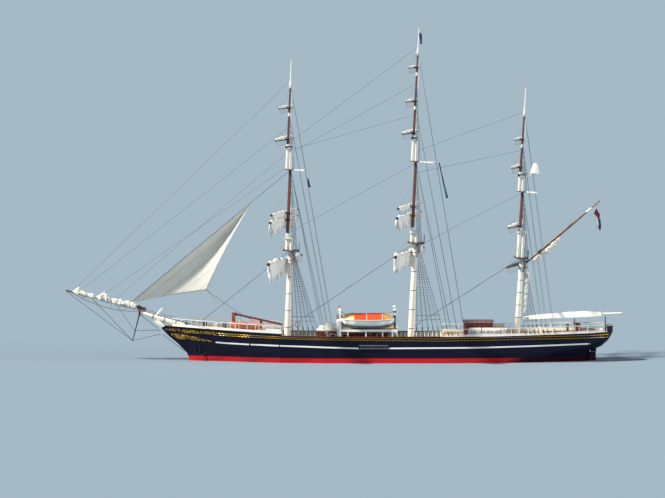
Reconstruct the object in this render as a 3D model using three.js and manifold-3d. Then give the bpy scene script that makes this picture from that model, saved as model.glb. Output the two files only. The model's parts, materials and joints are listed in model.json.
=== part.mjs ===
// Three-masted full-rigged tall ship, as a 1:2 scale model.
// Model units are millimetres. The frame's origin is on the centreline amidships at the waterline,
// +X runs to the bow, +Y to port and +Z up.
// Every size and place below is a real size of the full-size ship, in metres. The shapes are made
// in those metres, and piece() and place() turn them into the model's millimetres.

import * as THREE from 'three';
import { mergeVertices } from 'three/addons/utils/BufferGeometryUtils.js';
import Module from 'manifold-3d';

const MODEL_MM = 500;
const GAP = 0.3 / MODEL_MM;
const OVERSHOOT = 0.05;
// Forms that only cut others reach well past them
const CUTTER = { endX: 32, half: 8, belowZ: -6, aboveZ: 6, underDeckZ: 4 };
const CUT_REACH = 1;

// Hull
const KEEL_HALF = 0.14;
const BULWARK_THICKNESS = 0.16;
const FORECASTLE_BREAK_X = 14.7;
const POOP_BREAK_X = -7.0;
const TAFFRAIL_X = -29.25;
const TAFFRAIL_SETBACK = 0.25;
const WAIST = { fromX: 20, toX: -15 };
const COUNTER_Z = 1.45;
const APERTURE = { fromX: -25.3, toX: -26.4, bottomZ: -3.7, topZ: -0.8, half: 2 };

// Columns: x, keelZ, bilgeHalf, bilgeZ, sideHalf, sideZ, topHalf, topZ. Each section is one curve
// from the keel past the bilge point to the side point, and then a straight side up to the top.
const STATIONS = [
  [31.05, 4.35, 0.15, 4.4, 0.16, 4.6, 0.22, 5.45],
  [30.1, 3.35, 0.17, 3.6, 0.45, 4.2, 0.75, 5.35],
  [28.9, 2.35, 0.19, 3.0, 0.8, 3.8, 1.4, 5.25],
  [27.6, 1.0, 0.2, 2.2, 1.1, 3.4, 2.0, 5.2],
  [26.4, -2.6, 0.16, 0.7, 1.35, 3.0, 2.5, 5.1],
  [25.0, -4.3, 0.18, -0.2, 1.75, 2.6, 2.95, 5.05],
  [22.5, -4.7, 0.45, -1.3, 2.6, 2.2, 3.65, 4.9],
  [19.0, -4.8, 1.6, -3.0, 3.75, 1.6, 4.4, 4.75],
  [15.0, -4.8, 3.3, -3.9, 4.6, 1.1, 4.9, 4.55],
  [9.0, -4.8, 4.7, -4.3, 5.15, 0.8, 5.15, 4.3],
  [0.0, -4.8, 5.1, -4.4, 5.25, 0.6, 5.2, 4.2],
  [-8.0, -4.8, 4.7, -4.2, 5.15, 0.8, 5.1, 4.3],
  [-14.0, -4.8, 3.2, -3.6, 4.8, 1.1, 4.85, 4.4],
  [-19.0, -4.8, 1.3, -2.3, 4.25, 1.5, 4.45, 4.5],
  [-23.0, -4.8, 0.3, -0.9, 3.6, 1.9, 3.95, 4.7],
  [-26.9, -4.8, 0.16, 1.0, 2.8, 2.3, 3.35, 5.0],
  [-26.95, 1.45, 1.5, 1.5, 2.8, 2.3, 3.35, 5.0],
  [-27.6, 1.45, 1.4, 1.7, 2.55, 2.55, 3.1, 5.05],
  [-28.8, 2.0, 1.2, 2.2, 2.05, 2.95, 2.55, 5.15],
  [-29.7, 2.8, 0.9, 2.95, 1.4, 3.5, 1.85, 5.2],
  [-30.3, 3.8, 0.4, 3.9, 0.75, 4.1, 1.0, 5.2],
];
const BILGE_STEPS = 5;

// Columns: x, z, from the bow aft
const FORECASTLE_DECK = [[31.6, 4.85], [27, 4.62], [21, 4.3], [FORECASTLE_BREAK_X, 3.97]];
const MAIN_DECK = [[FORECASTLE_BREAK_X, 2.35], [7, 2.2], [POOP_BREAK_X, 2.2]];
const POOP_DECK = [[POOP_BREAK_X, 3.6], [-12, 3.6], [-19, 3.75], [TAFFRAIL_X, 4.0]];
const BULWARK_TOP = [[FORECASTLE_BREAK_X, 3.68], [5, 3.56], [POOP_BREAK_X, 3.58]];
const TAFFRAIL_TOP_Z = 4.85;

// Rails round the raised decks
const RAIL_INSET = 0.16;
const RAIL_LIFT = 0.0015;
const TOE_BOARD = { width: 0.14, height: 0.3 };
const TOP_RAIL = { width: 0.1, height: 0.08, above: 0.98 };
const RAIL_POST = 0.08;
const RAILS = [
  { name: 'forecastle_rail', deck: FORECASTLE_DECK, xs: [29.6, 28.3, 27, 24, 21, 17.8, 14.85] },
  { name: 'poop_rail', deck: POOP_DECK, xs: [-7.15, -9.5, -12, -15.5, -19, -22, -24.5, -26.8, -28.3, -29.1] },
];

// Deckhouses
const MIDSHIP_HOUSE = { fromX: 0.2, toX: 9.9, half: 2.2, topZ: 4.25 };
const BOAT_DECK = { fromX: -1.0, toX: 7.1, half: 4.85, bottomZ: 4.26, topZ: 4.57 };
const BOAT_DECK_POSTS_X = [-0.3, 1.05, 3.3, 5.75];
const BOAT_DECK_POST = { half: 0.09, y: 4.7 };
const DAVITS_X = [-0.64, 6.82];
const DAVIT = { half: 0.11, y: 2.75, reachY: 4.25, kneeZ: 7.0 };
const POOP_HOUSE = { fromX: -14.0, toX: -10.0, half: 1.7, topZ: 5.45, roofOverhang: 0.12, roof: 0.1 };
const LIFE_RAFTS_X = [-11.5, -13.25, -14.95];
const LIFE_RAFT = { radius: 0.37, length: 1.6, y: 4.1, z: 4.4, cradleHalf: 0.25 };
const WHEEL = {
  x: -25.6, radius: 0.78, rimRadius: 0.61, rim: 0.05, spoke: 0.035, hubZ: 1.15, boxHalf: 0.3, boxLength: 0.7,
  ahead: 0.14, shaftHalf: 0.06, shaftDrop: 0.12, shaftEnd: 0.02,
};

const BOAT_BILGE = { rise: 0.35, half: 0.86, floor: 0.3 };
const CANOPY_SHAPE = { shoulderHalf: 0.85, shoulderRise: 0.1, crownHalf: 0.35, endHalf: 0.6, endRise: 0.3 };
// Boats. Columns of the sections: share of half the length, half beam, bottom z, gunwale z
const LIFEBOAT = {
  x: 3.1, y: 4.2, z: 4.57 + GAP, half: 3.65, sill: 1.2,
  canopyFrom: -2.35, canopyTo: 1.85, canopySlope: 0.9, canopyHalf: 1.05, canopyTop: 2.04,
  sections: [[-1, 0.12, 0.75, 1.5], [-0.8, 0.8, 0.25, 1.4], [-0.4, 1.22, 0.02, 1.34], [0, 1.3, 0, 1.32],
    [0.4, 1.22, 0.02, 1.34], [0.8, 0.8, 0.25, 1.4], [1, 0.12, 0.75, 1.5]],
};
const RESCUE_BOAT = {
  x: 19.65, y: 1.85, half: 2.25,
  sections: [[-1, 0.75, 0.25, 0.9], [-0.6, 0.92, 0.02, 0.86], [0, 0.95, 0, 0.84], [0.5, 0.82, 0, 0.9],
    [0.85, 0.45, 0.3, 1.0], [1, 0.12, 0.62, 1.02]],
};

// Deck crane
const CRANE = {
  postX: 21.3, postRadius: 0.24, pivotX: 20.9, pivotZ: 6.29, tipX: 14.65, tipZ: 4.9, headRise: 0.25,
};
const CRANE_JIB = { width: 0.26, ear: 0.1, earGap: 0.03, earHalf: 0.2, pin: 0.57, hole: 1 };
const PIN_SIDES = 16;
const PIN_SLACK = 1 / Math.cos(Math.PI / PIN_SIDES);

// Bowsprit, jib-boom and dolphin striker
const BOWSPRIT = { heel: [28.0, 4.64], cap: [34.1, 6.58], heelRadius: 0.4, capRadius: 0.3 };
const JIB_BOOM = { heel: [33.2, 6.98], tip: [44.1, 9.55], heelRadius: 0.24, tipRadius: 0.1 };
const CAP_HALF = { x: 0.12, y: 0.42, below: 0.5, above: 0.95 };
const STRIKER = { top: [34.1, 6.3], foot: [35.06, 2.63], radius: 0.09, footRadius: 0.06 };

// Masts. Heights are above the waterline, along the mast
const SPAR_SIDES = 12;
const MASTS = [
  {
    name: 'fore', x: 14.14, rake: 2.4, deck: MAIN_DECK, heelRadius: 0.44, hounds: 0.36, brace: 10.5,
    top: 15.1, topAft: 1.2, lowerHead: 16.9, crosstrees: 26.1, topmastHead: 29.2,
    poleFoot: 38.0, truck: 40.9, outriggerAft: 1.9, outriggerOut: 1.5,
  },
  {
    name: 'main', x: -2.69, rake: 2.8, deck: MAIN_DECK, heelRadius: 0.46, hounds: 0.38, brace: 10,
    top: 16.15, topAft: 1.2, lowerHead: 17.7, crosstrees: 27.2, topmastHead: 30.4,
    poleFoot: 42.5, truck: 45.3, outriggerAft: 2.9, outriggerOut: 2.0,
  },
  {
    name: 'mizzen', x: -17.04, rake: 3.7, deck: POOP_DECK, heelRadius: 0.4, hounds: 0.32, brace: 11,
    top: 14.1, topAft: 0.85, lowerHead: 17.7, crosstrees: 23.1, topmastHead: 25.4,
    poleFoot: 34.2, truck: 37.1, outriggerAft: 2.0, outriggerOut: 1.4,
  },
];
const TOPMAST_OFFSET = 0.52;
const TOPGALLANT_OFFSET = 0.46;
const CARRIER_OFFSET = { lower: 0, topmast: TOPMAST_OFFSET, topgallant: TOPMAST_OFFSET + TOPGALLANT_OFFSET };
const LOWER_HEAD_RADIUS = 0.22;
const TOPMAST_RADIUS = { heel: 0.25, head: 0.2 };
const TOPGALLANT_RADIUS = { heel: 0.2, pole: 0.11, truck: 0.06 };
// Columns of the two shapes below: height above the pole's foot or truck, share of its radius
const POLE_SHAPE = [[-0.8, 1], [-0.6, 1.5], [0, 1.2], [0.1, 0.8]];
const TRUCK_SHAPE = [[-0.15, 1], [-0.1, 2], [0, 2]];
const PLATFORM = { thickness: 0.14, forward: 1.1, half: 1.6, middle: 0.3 };
const CROSSTREES = { thickness: 0.12, forward: 0.75, half: 1.0, middle: 0.25, aft: 0.45 };
const DOUBLING_CAP = { thickness: 0.32, wall: 0.12, above: 0.1 };
const OUTRIGGER_HALF = 0.06;
// Columns of the radome's shape: height above its foot, radius
const RADOME = { back: 1.5, z: 25.5, arm: 0.08, shape: [[0, 0.53], [0.15, 0.66], [1.12, 0.42], [1.5, 0.19]] };

// Yards. Columns: mast, yard, carried by, height, length, radius, forward of that mast's axis,
// radius of the tightly furled sail, 0 where the sail hangs bunched
const YARDS = [
  ['fore', 'lower', 'lower', 13.7, 24.5, 0.26, 0.78, 0],
  ['fore', 'lower_topsail', 'topmast', 19.2, 20.5, 0.21, 0.62, 0],
  ['fore', 'upper_topsail', 'topmast', 20.15, 19.0, 0.2, 0.62, 0],
  ['fore', 'topgallant', 'topgallant', 30.1, 13.0, 0.15, 0.54, 0.2],
  ['fore', 'royal', 'topgallant', 34.4, 10.0, 0.12, 0.5, 0.17],
  ['main', 'lower', 'lower', 14.7, 25.0, 0.27, 0.8, 0],
  ['main', 'lower_topsail', 'topmast', 19.8, 21.0, 0.21, 0.62, 0],
  ['main', 'upper_topsail', 'topmast', 21.05, 19.5, 0.2, 0.62, 0],
  ['main', 'topgallant', 'topgallant', 31.0, 13.0, 0.15, 0.54, 0.2],
  ['main', 'royal', 'topgallant', 35.3, 10.3, 0.12, 0.5, 0.16],
  ['main', 'skysail', 'topgallant', 39.9, 8.7, 0.1, 0.45, 0.14],
  ['mizzen', 'crossjack', 'lower', 13.07, 17.2, 0.2, 0.64, 0],
  ['mizzen', 'topsail', 'topmast', 18.3, 13.0, 0.16, 0.6, 0.2],
  ['mizzen', 'topgallant', 'topgallant', 26.3, 9.2, 0.12, 0.52, 0.17],
  ['mizzen', 'royal', 'topgallant', 30.1, 7.2, 0.1, 0.48, 0.15],
];
const YARD_SIDES = 8;
const PARREL = { clearance: 0.03, wall: 0.11, half: 0.14, seat: 0.12, arm: 0.1 };
const TRUSS = { shelfHalf: 0.15, from: 0.7 };

// Bunched sails. Columns: share of half the yard, depth below the yard, thickness fore and aft
const BUNCHES = [
  {
    name: 'fore_course_sail', yard: 'fore_lower_yard',
    sections: [[-0.85, 0.4, 0.35], [-0.6, 0.8, 0.5], [-0.3, 1.5, 0.6], [0, 1.6, 0.55], [0.3, 1.7, 0.65],
      [0.6, 2.1, 0.8], [0.78, 2.0, 0.8], [0.93, 0.9, 0.5]],
  },
  {
    name: 'fore_topsail_sail', yard: 'fore_lower_topsail_yard',
    sections: [[-0.85, 0.7, 0.5], [-0.55, 1.1, 0.7], [-0.2, 0.8, 0.5], [0.2, 0.9, 0.5], [0.5, 0.9, 0.6],
      [0.75, 1.7, 0.8], [0.92, 1.2, 0.6]],
  },
  {
    name: 'main_course_sail', yard: 'main_lower_yard',
    sections: [[-0.85, 0.5, 0.4], [-0.6, 0.9, 0.6], [-0.3, 1.3, 0.6], [0, 1.4, 0.55], [0.3, 1.2, 0.6],
      [0.5, 1.2, 0.6], [0.72, 2.0, 0.9], [0.93, 1.7, 0.7]],
  },
  {
    name: 'main_topsail_sail', yard: 'main_lower_topsail_yard',
    sections: [[-0.85, 0.5, 0.4], [-0.55, 1.0, 0.7], [-0.2, 0.9, 0.5], [0.2, 1.2, 0.55], [0.5, 0.7, 0.5],
      [0.72, 1.5, 0.8], [0.92, 1.4, 0.6]],
  },
];

// Gaff and boom. Each turns on a gooseneck behind the mast; z is the pin's middle, along the mast
const GAFF = { z: 13.46, back: 0.7, slope: 40.2, length: 13.0, radius: 0.17, tipRadius: 0.07 };
const BOOM = { z: 5.96, back: 0.8, slope: 2.4, length: 13.35, radius: 0.16, tipRadius: 0.12 };
const SPAR_SHAPE = { heel: 0.7, fullFrom: 0.3, fullTo: 0.6 };
const GOOSENECK = { heelRadius: 0.14, heelHalf: 0.15, plate: 0.1 };
// The roll's three points are distances behind the mast and below the gaff's pin
const BRAILED_SAIL = {
  throat: 0.75, along: 5.4, depth: 0.6, half: 0.17, footZ: 6.5, nearMast: -0.2,
  rollFoot: 0.48, rollMiddle: [0.6, 2.4], rollTop: [0.78, 0.72], endTuck: [0.42, 0.33],
};
// Columns: distance aft of the pin, ridge above the boom, half width at the eaves
const BOOM_TENT = {
  ridgeHalf: 0.1, thickness: 0.05, eaves: -0.2,
  stations: [[0.6, 0, 0.72], [3, 0.12, 0.8], [6, 0.26, 0.95], [8, 0.28, 0.95], [10.6, 0.1, 0.75]],
};
// Columns: drop below the gaff, half thickness, width
const ENSIGN = {
  at: 12.45, halyard: 0.025, hoist: 0.15,
  levels: [[0.73, 0.025, 0.05], [0.75, 0.07, 0.5], [1.8, 0.07, 0.75], [2.9, 0.07, 1.0], [3.7, 0.045, 0.7]],
};

// Jib
const JIB_TACK = [35.69, 7.57];
const JIB_STAY_HEAD_Z = 25.95;
const JIB = {
  tack: 0.016, head: 0.757, topRow: 0.985, clew: [24.9, -1.6, 9.55], belly: 1.3, draftLow: 0.65,
  thickness: 0.05,
  rows: 8, columns: 6,
};

// Standing stays, each from a mast at a height to where it is set up
const STAY_RADIUS = 0.035;
const STAY_MEETS_MAST = 0.27;
const FORESTAY_DECK_X = 26.6;

// Rudder and propeller
const RUDDER = {
  axisX: -27.1, trailX: -28.05, bottomZ: -4.6, topZ: 1.2, half: 0.13, trailHalf: 0.04, stock: 0.126,
};
// Columns of the hub: distance aft of the aperture's front, radius
const PROPELLER = { z: -2.25, pitch: 32, bladesAt: 0.285, hub: [[0, 0.2], [0.45, 0.2], [0.75, 0.08]] };
const BLADES = { count: 4, width: 0.62, half: 0.04 };
// Columns: distance out from the shaft, share of the blade's width
const BLADE_SECTIONS = [[0.12, 0.55], [0.72, 1], [1.1, 0.7], [1.2, 0.25]];

// Colours
const HULL_BLACK = '#16142b';
const WHITE = '#f3f1ea';
const CREAM = '#ece5d3';
const MAHOGANY = '#7c3022';
const SPAR_BROWN = '#7b4a3c';
const CANVAS = '#e9e6da';
const ORANGE = '#f4501e';
const BRONZE = '#a9762f';
const DARK_STEEL = '#26262b';
const FLAG_RED = '#7d1f2c';

const wasm = await Module();
wasm.setup();

// Shape tools

function merged(geometry) {
  const bare = geometry.clone();
  bare.deleteAttribute('normal');
  bare.deleteAttribute('uv');
  return mergeVertices(bare);
}

// Some of the shapes come out inside out; turning every triangle round puts that right
function solid(geometry) {
  const clean = merged(geometry);
  const vertProperties = new Float32Array(clean.attributes.position.array);
  const triVerts = new Uint32Array(clean.index.array);
  const made = new wasm.Manifold(new wasm.Mesh({ numProp: 3, vertProperties, triVerts }));
  if (made.volume() > 0) return made;
  return new wasm.Manifold(new wasm.Mesh({ numProp: 3, vertProperties, triVerts: triVerts.reverse() }));
}

function geometryOf(made) {
  const mesh = made.getMesh();
  const geometry = new THREE.BufferGeometry();
  geometry.setAttribute('position', new THREE.BufferAttribute(new Float32Array(mesh.vertProperties), 3));
  geometry.setIndex(new THREE.BufferAttribute(new Uint32Array(mesh.triVerts), 1));
  return geometry;
}

function joined(...geometries) {
  return geometryOf(geometries.map(solid).reduce((whole, next) => whole.add(next)));
}

function cut(geometry, ...tools) {
  return geometryOf(tools.map(solid).reduce((rest, tool) => rest.subtract(tool), solid(geometry)));
}

function common(geometry, other) {
  return geometryOf(solid(geometry).intersect(solid(other)));
}

// A closed skin over rings of [x, y, z] points, all with the same count. The end rings are closed by
// triangles that zigzag between a ring's two halves, which suits thin shells as well as round forms.
function loft(rings) {
  const count = rings[0].length;
  const index = [];
  for (let ring = 0; ring < rings.length - 1; ring++) {
    for (let point = 0; point < count; point++) {
      const here = ring * count + point;
      const beside = ring * count + ((point + 1) % count);
      index.push(here, beside, beside + count, here, beside + count, here + count);
    }
  }
  const last = (rings.length - 1) * count;
  for (let point = 0; point < count / 2 - 1; point++) {
    const across = count - 1 - point;
    const corners = [point, point + 1, across];
    if (across - 1 > point + 1) corners.push(point + 1, across - 1, across);
    index.push(...corners.toReversed(), ...corners.map((corner) => last + corner));
  }
  const geometry = new THREE.BufferGeometry();
  geometry.setAttribute('position', new THREE.Float32BufferAttribute(rings.flat(2), 3));
  geometry.setIndex(index);
  return geometry;
}

function box(fromX, toX, fromY, toY, fromZ, toZ) {
  const geometry = new THREE.BoxGeometry(Math.abs(toX - fromX), Math.abs(toY - fromY), Math.abs(toZ - fromZ));
  geometry.translate((fromX + toX) / 2, (fromY + toY) / 2, (fromZ + toZ) / 2);
  return geometry;
}

// A side view outline of [x, z] points, drawn out evenly to both sides of the centreline
function sideSlab(outline, half) {
  const shape = new THREE.Shape(outline.map(([x, z]) => new THREE.Vector2(x, z)));
  const geometry = new THREE.ExtrudeGeometry(shape, { depth: 2 * half, bevelEnabled: false });
  geometry.rotateX(Math.PI / 2);
  geometry.translate(0, half, 0);
  return geometry;
}

// A turned spar along its own Z, from [height, radius] pairs
function turned(profile, sides = SPAR_SIDES) {
  const foot = new THREE.Vector2(0, profile[0][0]);
  const head = new THREE.Vector2(0, profile[profile.length - 1][0]);
  const outline = [foot, ...profile.map(([height, radius]) => new THREE.Vector2(radius, height)), head];
  const geometry = new THREE.LatheGeometry(outline, sides);
  geometry.rotateX(Math.PI / 2);
  return geometry;
}

function ringAround(inner, outer, bottom, top) {
  const outline = [[inner, bottom], [outer, bottom], [outer, top], [inner, top], [inner, bottom]];
  const geometry = new THREE.LatheGeometry(outline.map(([x, y]) => new THREE.Vector2(x, y)), SPAR_SIDES);
  geometry.rotateX(Math.PI / 2);
  return geometry;
}

// Turns a spar made along Z to run in the centre plane from one [x, z] point to another
function alongCentre(geometry, [fromX, fromZ], [toX, toZ]) {
  geometry.rotateY(Math.atan2(toX - fromX, toZ - fromZ));
  geometry.translate(fromX, 0, fromZ);
  return geometry;
}

function taperedSpar(from, to, fromRadius, toRadius, sides = SPAR_SIDES) {
  const length = Math.hypot(to[0] - from[0], to[1] - from[1]);
  return alongCentre(turned([[0, fromRadius], [length, toRadius]], sides), from, to);
}

function valueAt(table, x, column = 1) {
  const forward = table.findLast((row) => row[0] >= x) ?? table[0];
  const aft = table.find((row) => row[0] < x) ?? forward;
  const share = forward === aft ? 0 : (x - forward[0]) / (aft[0] - forward[0]);
  return THREE.MathUtils.lerp(forward[column], aft[column], share);
}

function hullHalfAt(x, z) {
  const [sideHalf, sideZ, topHalf, topZ] = [4, 5, 6, 7].map((column) => valueAt(STATIONS, x, column));
  return THREE.MathUtils.mapLinear(z, sideZ, topZ, sideHalf, topHalf);
}

// Scene tools

function material(color, roughness, metalness = 0) {
  return new THREE.MeshStandardMaterial({ color, roughness, metalness });
}

function piece(parent, name, geometry, finish) {
  const closed = geometryOf(solid(geometry));
  closed.scale(MODEL_MM, MODEL_MM, MODEL_MM);
  const mesh = new THREE.Mesh(closed, finish);
  mesh.name = name;
  parent.add(mesh);
  return mesh;
}

function place(parent, x, y, z) {
  const holder = new THREE.Group();
  holder.position.set(x, y, z).multiplyScalar(MODEL_MM);
  parent.add(holder);
  return holder;
}

const ship = new THREE.Group();

// Hull

function stationRing([x, keelZ, bilgeHalf, bilgeZ, sideHalf, sideZ, topHalf, topZ], inset, rise) {
  const curve = new THREE.QuadraticBezierCurve(
    new THREE.Vector2(KEEL_HALF, keelZ),
    new THREE.Vector2(bilgeHalf, bilgeZ),
    new THREE.Vector2(sideHalf - inset, sideZ),
  );
  const port = curve.getPoints(BILGE_STEPS).map(({ x: half, y: z }) => [x, half, z]);
  port.push([x, topHalf - inset, topZ + rise]);
  const starboard = port.map(([, half, z]) => [x, -half, z]).reverse();
  return [...starboard, ...port];
}

function hullForm(stations = STATIONS, inset = 0, rise = 0) {
  return loft(stations.map((station) => stationRing(station, inset, rise)));
}

function buildHull() {
  const below = [[-CUTTER.endX, CUTTER.belowZ], [CUTTER.endX, CUTTER.belowZ]];
  const faceX = TAFFRAIL_X - TAFFRAIL_SETBACK;
  const topZ = TAFFRAIL_TOP_Z;
  const taffrail = [[faceX, valueAt(POOP_DECK, faceX)], [faceX, topZ], [-CUTTER.endX, topZ]];
  const outline = [...below, ...FORECASTLE_DECK, ...MAIN_DECK, ...POOP_DECK, ...taffrail];
  const body = common(hullForm(), sideSlab(outline, CUTTER.half));
  const { fromX, toX, half, bottomZ } = APERTURE;
  const aperture = box(fromX, toX, -half, half, bottomZ, APERTURE.topZ);
  piece(ship, 'hull', cut(body, aperture), material(HULL_BLACK, 0.35));
}

function buildBulwarks() {
  const waist = STATIONS.filter(([x]) => x < WAIST.fromX && x > WAIST.toX);
  const shell = cut(hullForm(waist), hullForm(waist, BULWARK_THICKNESS, 1));
  const foot = MAIN_DECK.map(([x, z]) => [x, z + GAP]);
  const outline = [...BULWARK_TOP, ...foot.reverse()].map(([x, z]) => [
    THREE.MathUtils.clamp(x, POOP_BREAK_X + GAP, FORECASTLE_BREAK_X - GAP), z,
  ]);
  const waistWall = common(shell, sideSlab(outline, CUTTER.half));
  for (const [side, sign] of [['port', 1], ['starboard', -1]]) {
    const half = box(WAIST.toX, WAIST.fromX, 0, CUTTER.half * sign, 0, CUTTER.aboveZ);
    const wall = common(waistWall, half);
    piece(ship, `bulwark_${side}`, wall, material(HULL_BLACK, 0.4));
  }
}

// Rails

// A square-edged strip along a path of [x, y, z] base points
function strip(path, width, height) {
  return loft(path.map(([x, y, z], at) => {
    const before = path[Math.max(at - 1, 0)];
    const after = path[Math.min(at + 1, path.length - 1)];
    const run = new THREE.Vector2(after[0] - before[0], after[1] - before[1]).normalize();
    const sideX = -run.y * width / 2;
    const sideY = run.x * width / 2;
    return [[x - sideX, y - sideY, z], [x + sideX, y + sideY, z],
      [x + sideX, y + sideY, z + height], [x - sideX, y - sideY, z + height]];
  }));
}

function buildRail({ name, deck, xs }, side, sign) {
  const foot = xs.map((x) => {
    const z = valueAt(deck, x);
    return [x, sign * (hullHalfAt(x, z) - RAIL_INSET), z + GAP + RAIL_LIFT];
  });
  const railPath = foot.map(([x, y, z]) => [x, y, z + TOP_RAIL.above]);
  const half = RAIL_POST / 2;
  const posts = foot.map(([x, y, z]) => {
    const top = z + TOP_RAIL.above + OVERSHOOT;
    return box(x - half, x + half, y - half, y + half, z + OVERSHOOT, top);
  });
  posts[0].translate(-Math.sign(xs[0] - xs[1]) * half, 0, 0);
  posts[posts.length - 1].translate(Math.sign(xs[0] - xs[1]) * half, 0, 0);
  const rail = joined(
    strip(foot, TOE_BOARD.width, TOE_BOARD.height),
    strip(railPath, TOP_RAIL.width, TOP_RAIL.height),
    ...posts,
  );
  piece(ship, `${name}_${side}`, rail, material(WHITE, 0.45));
}

// Deckhouses and deck gear

function buildMidshipHouse() {
  const { fromX, toX, half, topZ } = MIDSHIP_HOUSE;
  const footZ = valueAt(MAIN_DECK, toX) + GAP;
  piece(ship, 'midship_house', box(fromX, toX, -half, half, footZ, topZ), material(MAHOGANY, 0.35));
}

function buildBoatDeck() {
  const { fromX, toX, half, bottomZ, topZ } = BOAT_DECK;
  const parts = [box(fromX, toX, -half, half, bottomZ, topZ)];
  for (const sign of [1, -1]) {
    for (const x of BOAT_DECK_POSTS_X) {
      const { half: post, y } = BOAT_DECK_POST;
      const foot = valueAt(MAIN_DECK, x) + GAP;
      parts.push(box(x - post, x + post, sign * y - post, sign * y + post, foot, topZ - OVERSHOOT));
    }
    for (const x of DAVITS_X) {
      const { half: arm, y, reachY, kneeZ } = DAVIT;
      const inner = sign * (y - arm);
      parts.push(box(x - arm, x + arm, inner, sign * (y + arm), topZ - OVERSHOOT, kneeZ));
      parts.push(box(x - arm, x + arm, inner, sign * reachY, kneeZ - 2 * arm, kneeZ));
    }
  }
  piece(ship, 'boat_deck', joined(...parts), material(WHITE, 0.45));
}

function boatForm({ half, sections }) {
  return loft(sections.map(([share, beam, bottom, gunwale]) => {
    const x = share * half;
    const turn = bottom + (gunwale - bottom) * BOAT_BILGE.rise;
    const bilge = beam * BOAT_BILGE.half;
    const floor = beam * BOAT_BILGE.floor;
    return [[x, -beam, gunwale], [x, -bilge, turn], [x, -floor, bottom], [x, floor, bottom],
      [x, bilge, turn], [x, beam, gunwale]];
  }));
}

// One cross-section of the lifeboat's canopy, from its sill up to its crown
function canopyRing(x, half, sill, crown) {
  const shoulderZ = (sill + crown) / 2 + CANOPY_SHAPE.shoulderRise;
  const shoulder = half * CANOPY_SHAPE.shoulderHalf;
  const top = half * CANOPY_SHAPE.crownHalf;
  return [[x, -half, sill], [x, half, sill], [x, shoulder, shoulderZ], [x, top, crown],
    [x, -top, crown], [x, -shoulder, shoulderZ]];
}

function buildLifeboat(side, sign) {
  const { x, y, z, sill, canopyFrom, canopyTo, canopySlope, canopyHalf, canopyTop } = LIFEBOAT;
  const endHalf = canopyHalf * CANOPY_SHAPE.endHalf;
  const endTop = sill + CANOPY_SHAPE.endRise;
  const canopy = loft([
    canopyRing(canopyFrom - canopySlope, endHalf, sill, endTop),
    canopyRing(canopyFrom, canopyHalf, sill, canopyTop),
    canopyRing(canopyTo, canopyHalf, sill, canopyTop),
    canopyRing(canopyTo + canopySlope, endHalf, sill, endTop),
  ]);
  const boat = joined(boatForm(LIFEBOAT), canopy);
  piece(place(ship, x, sign * y, z), `lifeboat_${side}`, boat, material(ORANGE, 0.5));
}

function buildRescueBoat() {
  const { x, y } = RESCUE_BOAT;
  const foot = valueAt(FORECASTLE_DECK, x + RESCUE_BOAT.half / 2) + GAP;
  piece(place(ship, x, y, foot), 'rescue_boat', boatForm(RESCUE_BOAT), material(ORANGE, 0.55));
}

function buildCrane() {
  const { postX, postRadius, pivotX, pivotZ, tipX, tipZ, headRise } = CRANE;
  const { width, ear, earGap, earHalf, pin: pinLength } = CRANE_JIB;
  const foot = valueAt(FORECASTLE_DECK, postX + postRadius) + GAP;
  const pin = new THREE.CylinderGeometry(ear / 2, ear / 2, pinLength, PIN_SIDES);
  pin.translate(pivotX, 0, pivotZ);
  const post = turned([[foot, postRadius], [pivotZ + headRise, postRadius]]);
  post.translate(postX, 0, 0);
  const ears = [1, -1].map((sign) => {
    const inner = sign * (width / 2 + earGap);
    return box(pivotX - ear, postX, inner, inner + sign * ear, pivotZ - earHalf, pivotZ + earHalf);
  });
  piece(ship, 'crane_post', joined(post, pin, ...ears), material(MAHOGANY, 0.5));

  const span = Math.hypot(pivotX - tipX, pivotZ - tipZ);
  const beam = box(-span, -ear / 4, -width / 2, width / 2, -width / 2, width / 2);
  const eye = new THREE.CylinderGeometry(width / 2, width / 2, width, PIN_SIDES);
  const holeRadius = (ear / 2 + GAP) * PIN_SLACK;
  const hole = new THREE.CylinderGeometry(holeRadius, holeRadius, CRANE_JIB.hole, PIN_SIDES);
  const holder = place(ship, pivotX, 0, pivotZ);
  holder.rotation.y = -Math.atan2(pivotZ - tipZ, pivotX - tipX);
  piece(holder, 'crane_jib', cut(joined(beam, eye), hole), material(MAHOGANY, 0.5));
}

function buildPoopHouse() {
  const { fromX, toX, half, topZ, roofOverhang, roof } = POOP_HOUSE;
  const foot = valueAt(POOP_DECK, fromX) + GAP;
  const walls = box(fromX, toX, -half, half, foot, topZ - roof / 2);
  const eaves = half + roofOverhang;
  const over = box(fromX - roofOverhang, toX + roofOverhang, -eaves, eaves, topZ - roof, topZ);
  piece(ship, 'poop_house', joined(walls, over), material(MAHOGANY, 0.35));
}

function buildLifeRafts(side, sign) {
  const { radius, length, y, z, cradleHalf } = LIFE_RAFT;
  const parts = LIFE_RAFTS_X.map((x) => {
    const canister = new THREE.CylinderGeometry(radius, radius, length, SPAR_SIDES);
    canister.rotateZ(Math.PI / 2);
    canister.translate(x, sign * y, z);
    return canister;
  });
  const fromX = LIFE_RAFTS_X[0] + length / 2;
  const toX = LIFE_RAFTS_X.at(-1) - length / 2;
  const foot = valueAt(POOP_DECK, toX) + GAP;
  const middle = sign * y;
  parts.push(box(fromX, toX, middle - cradleHalf, middle + cradleHalf, foot, z - radius / 2));
  piece(ship, `life_rafts_${side}`, joined(...parts), material(WHITE, 0.4));
}

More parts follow.
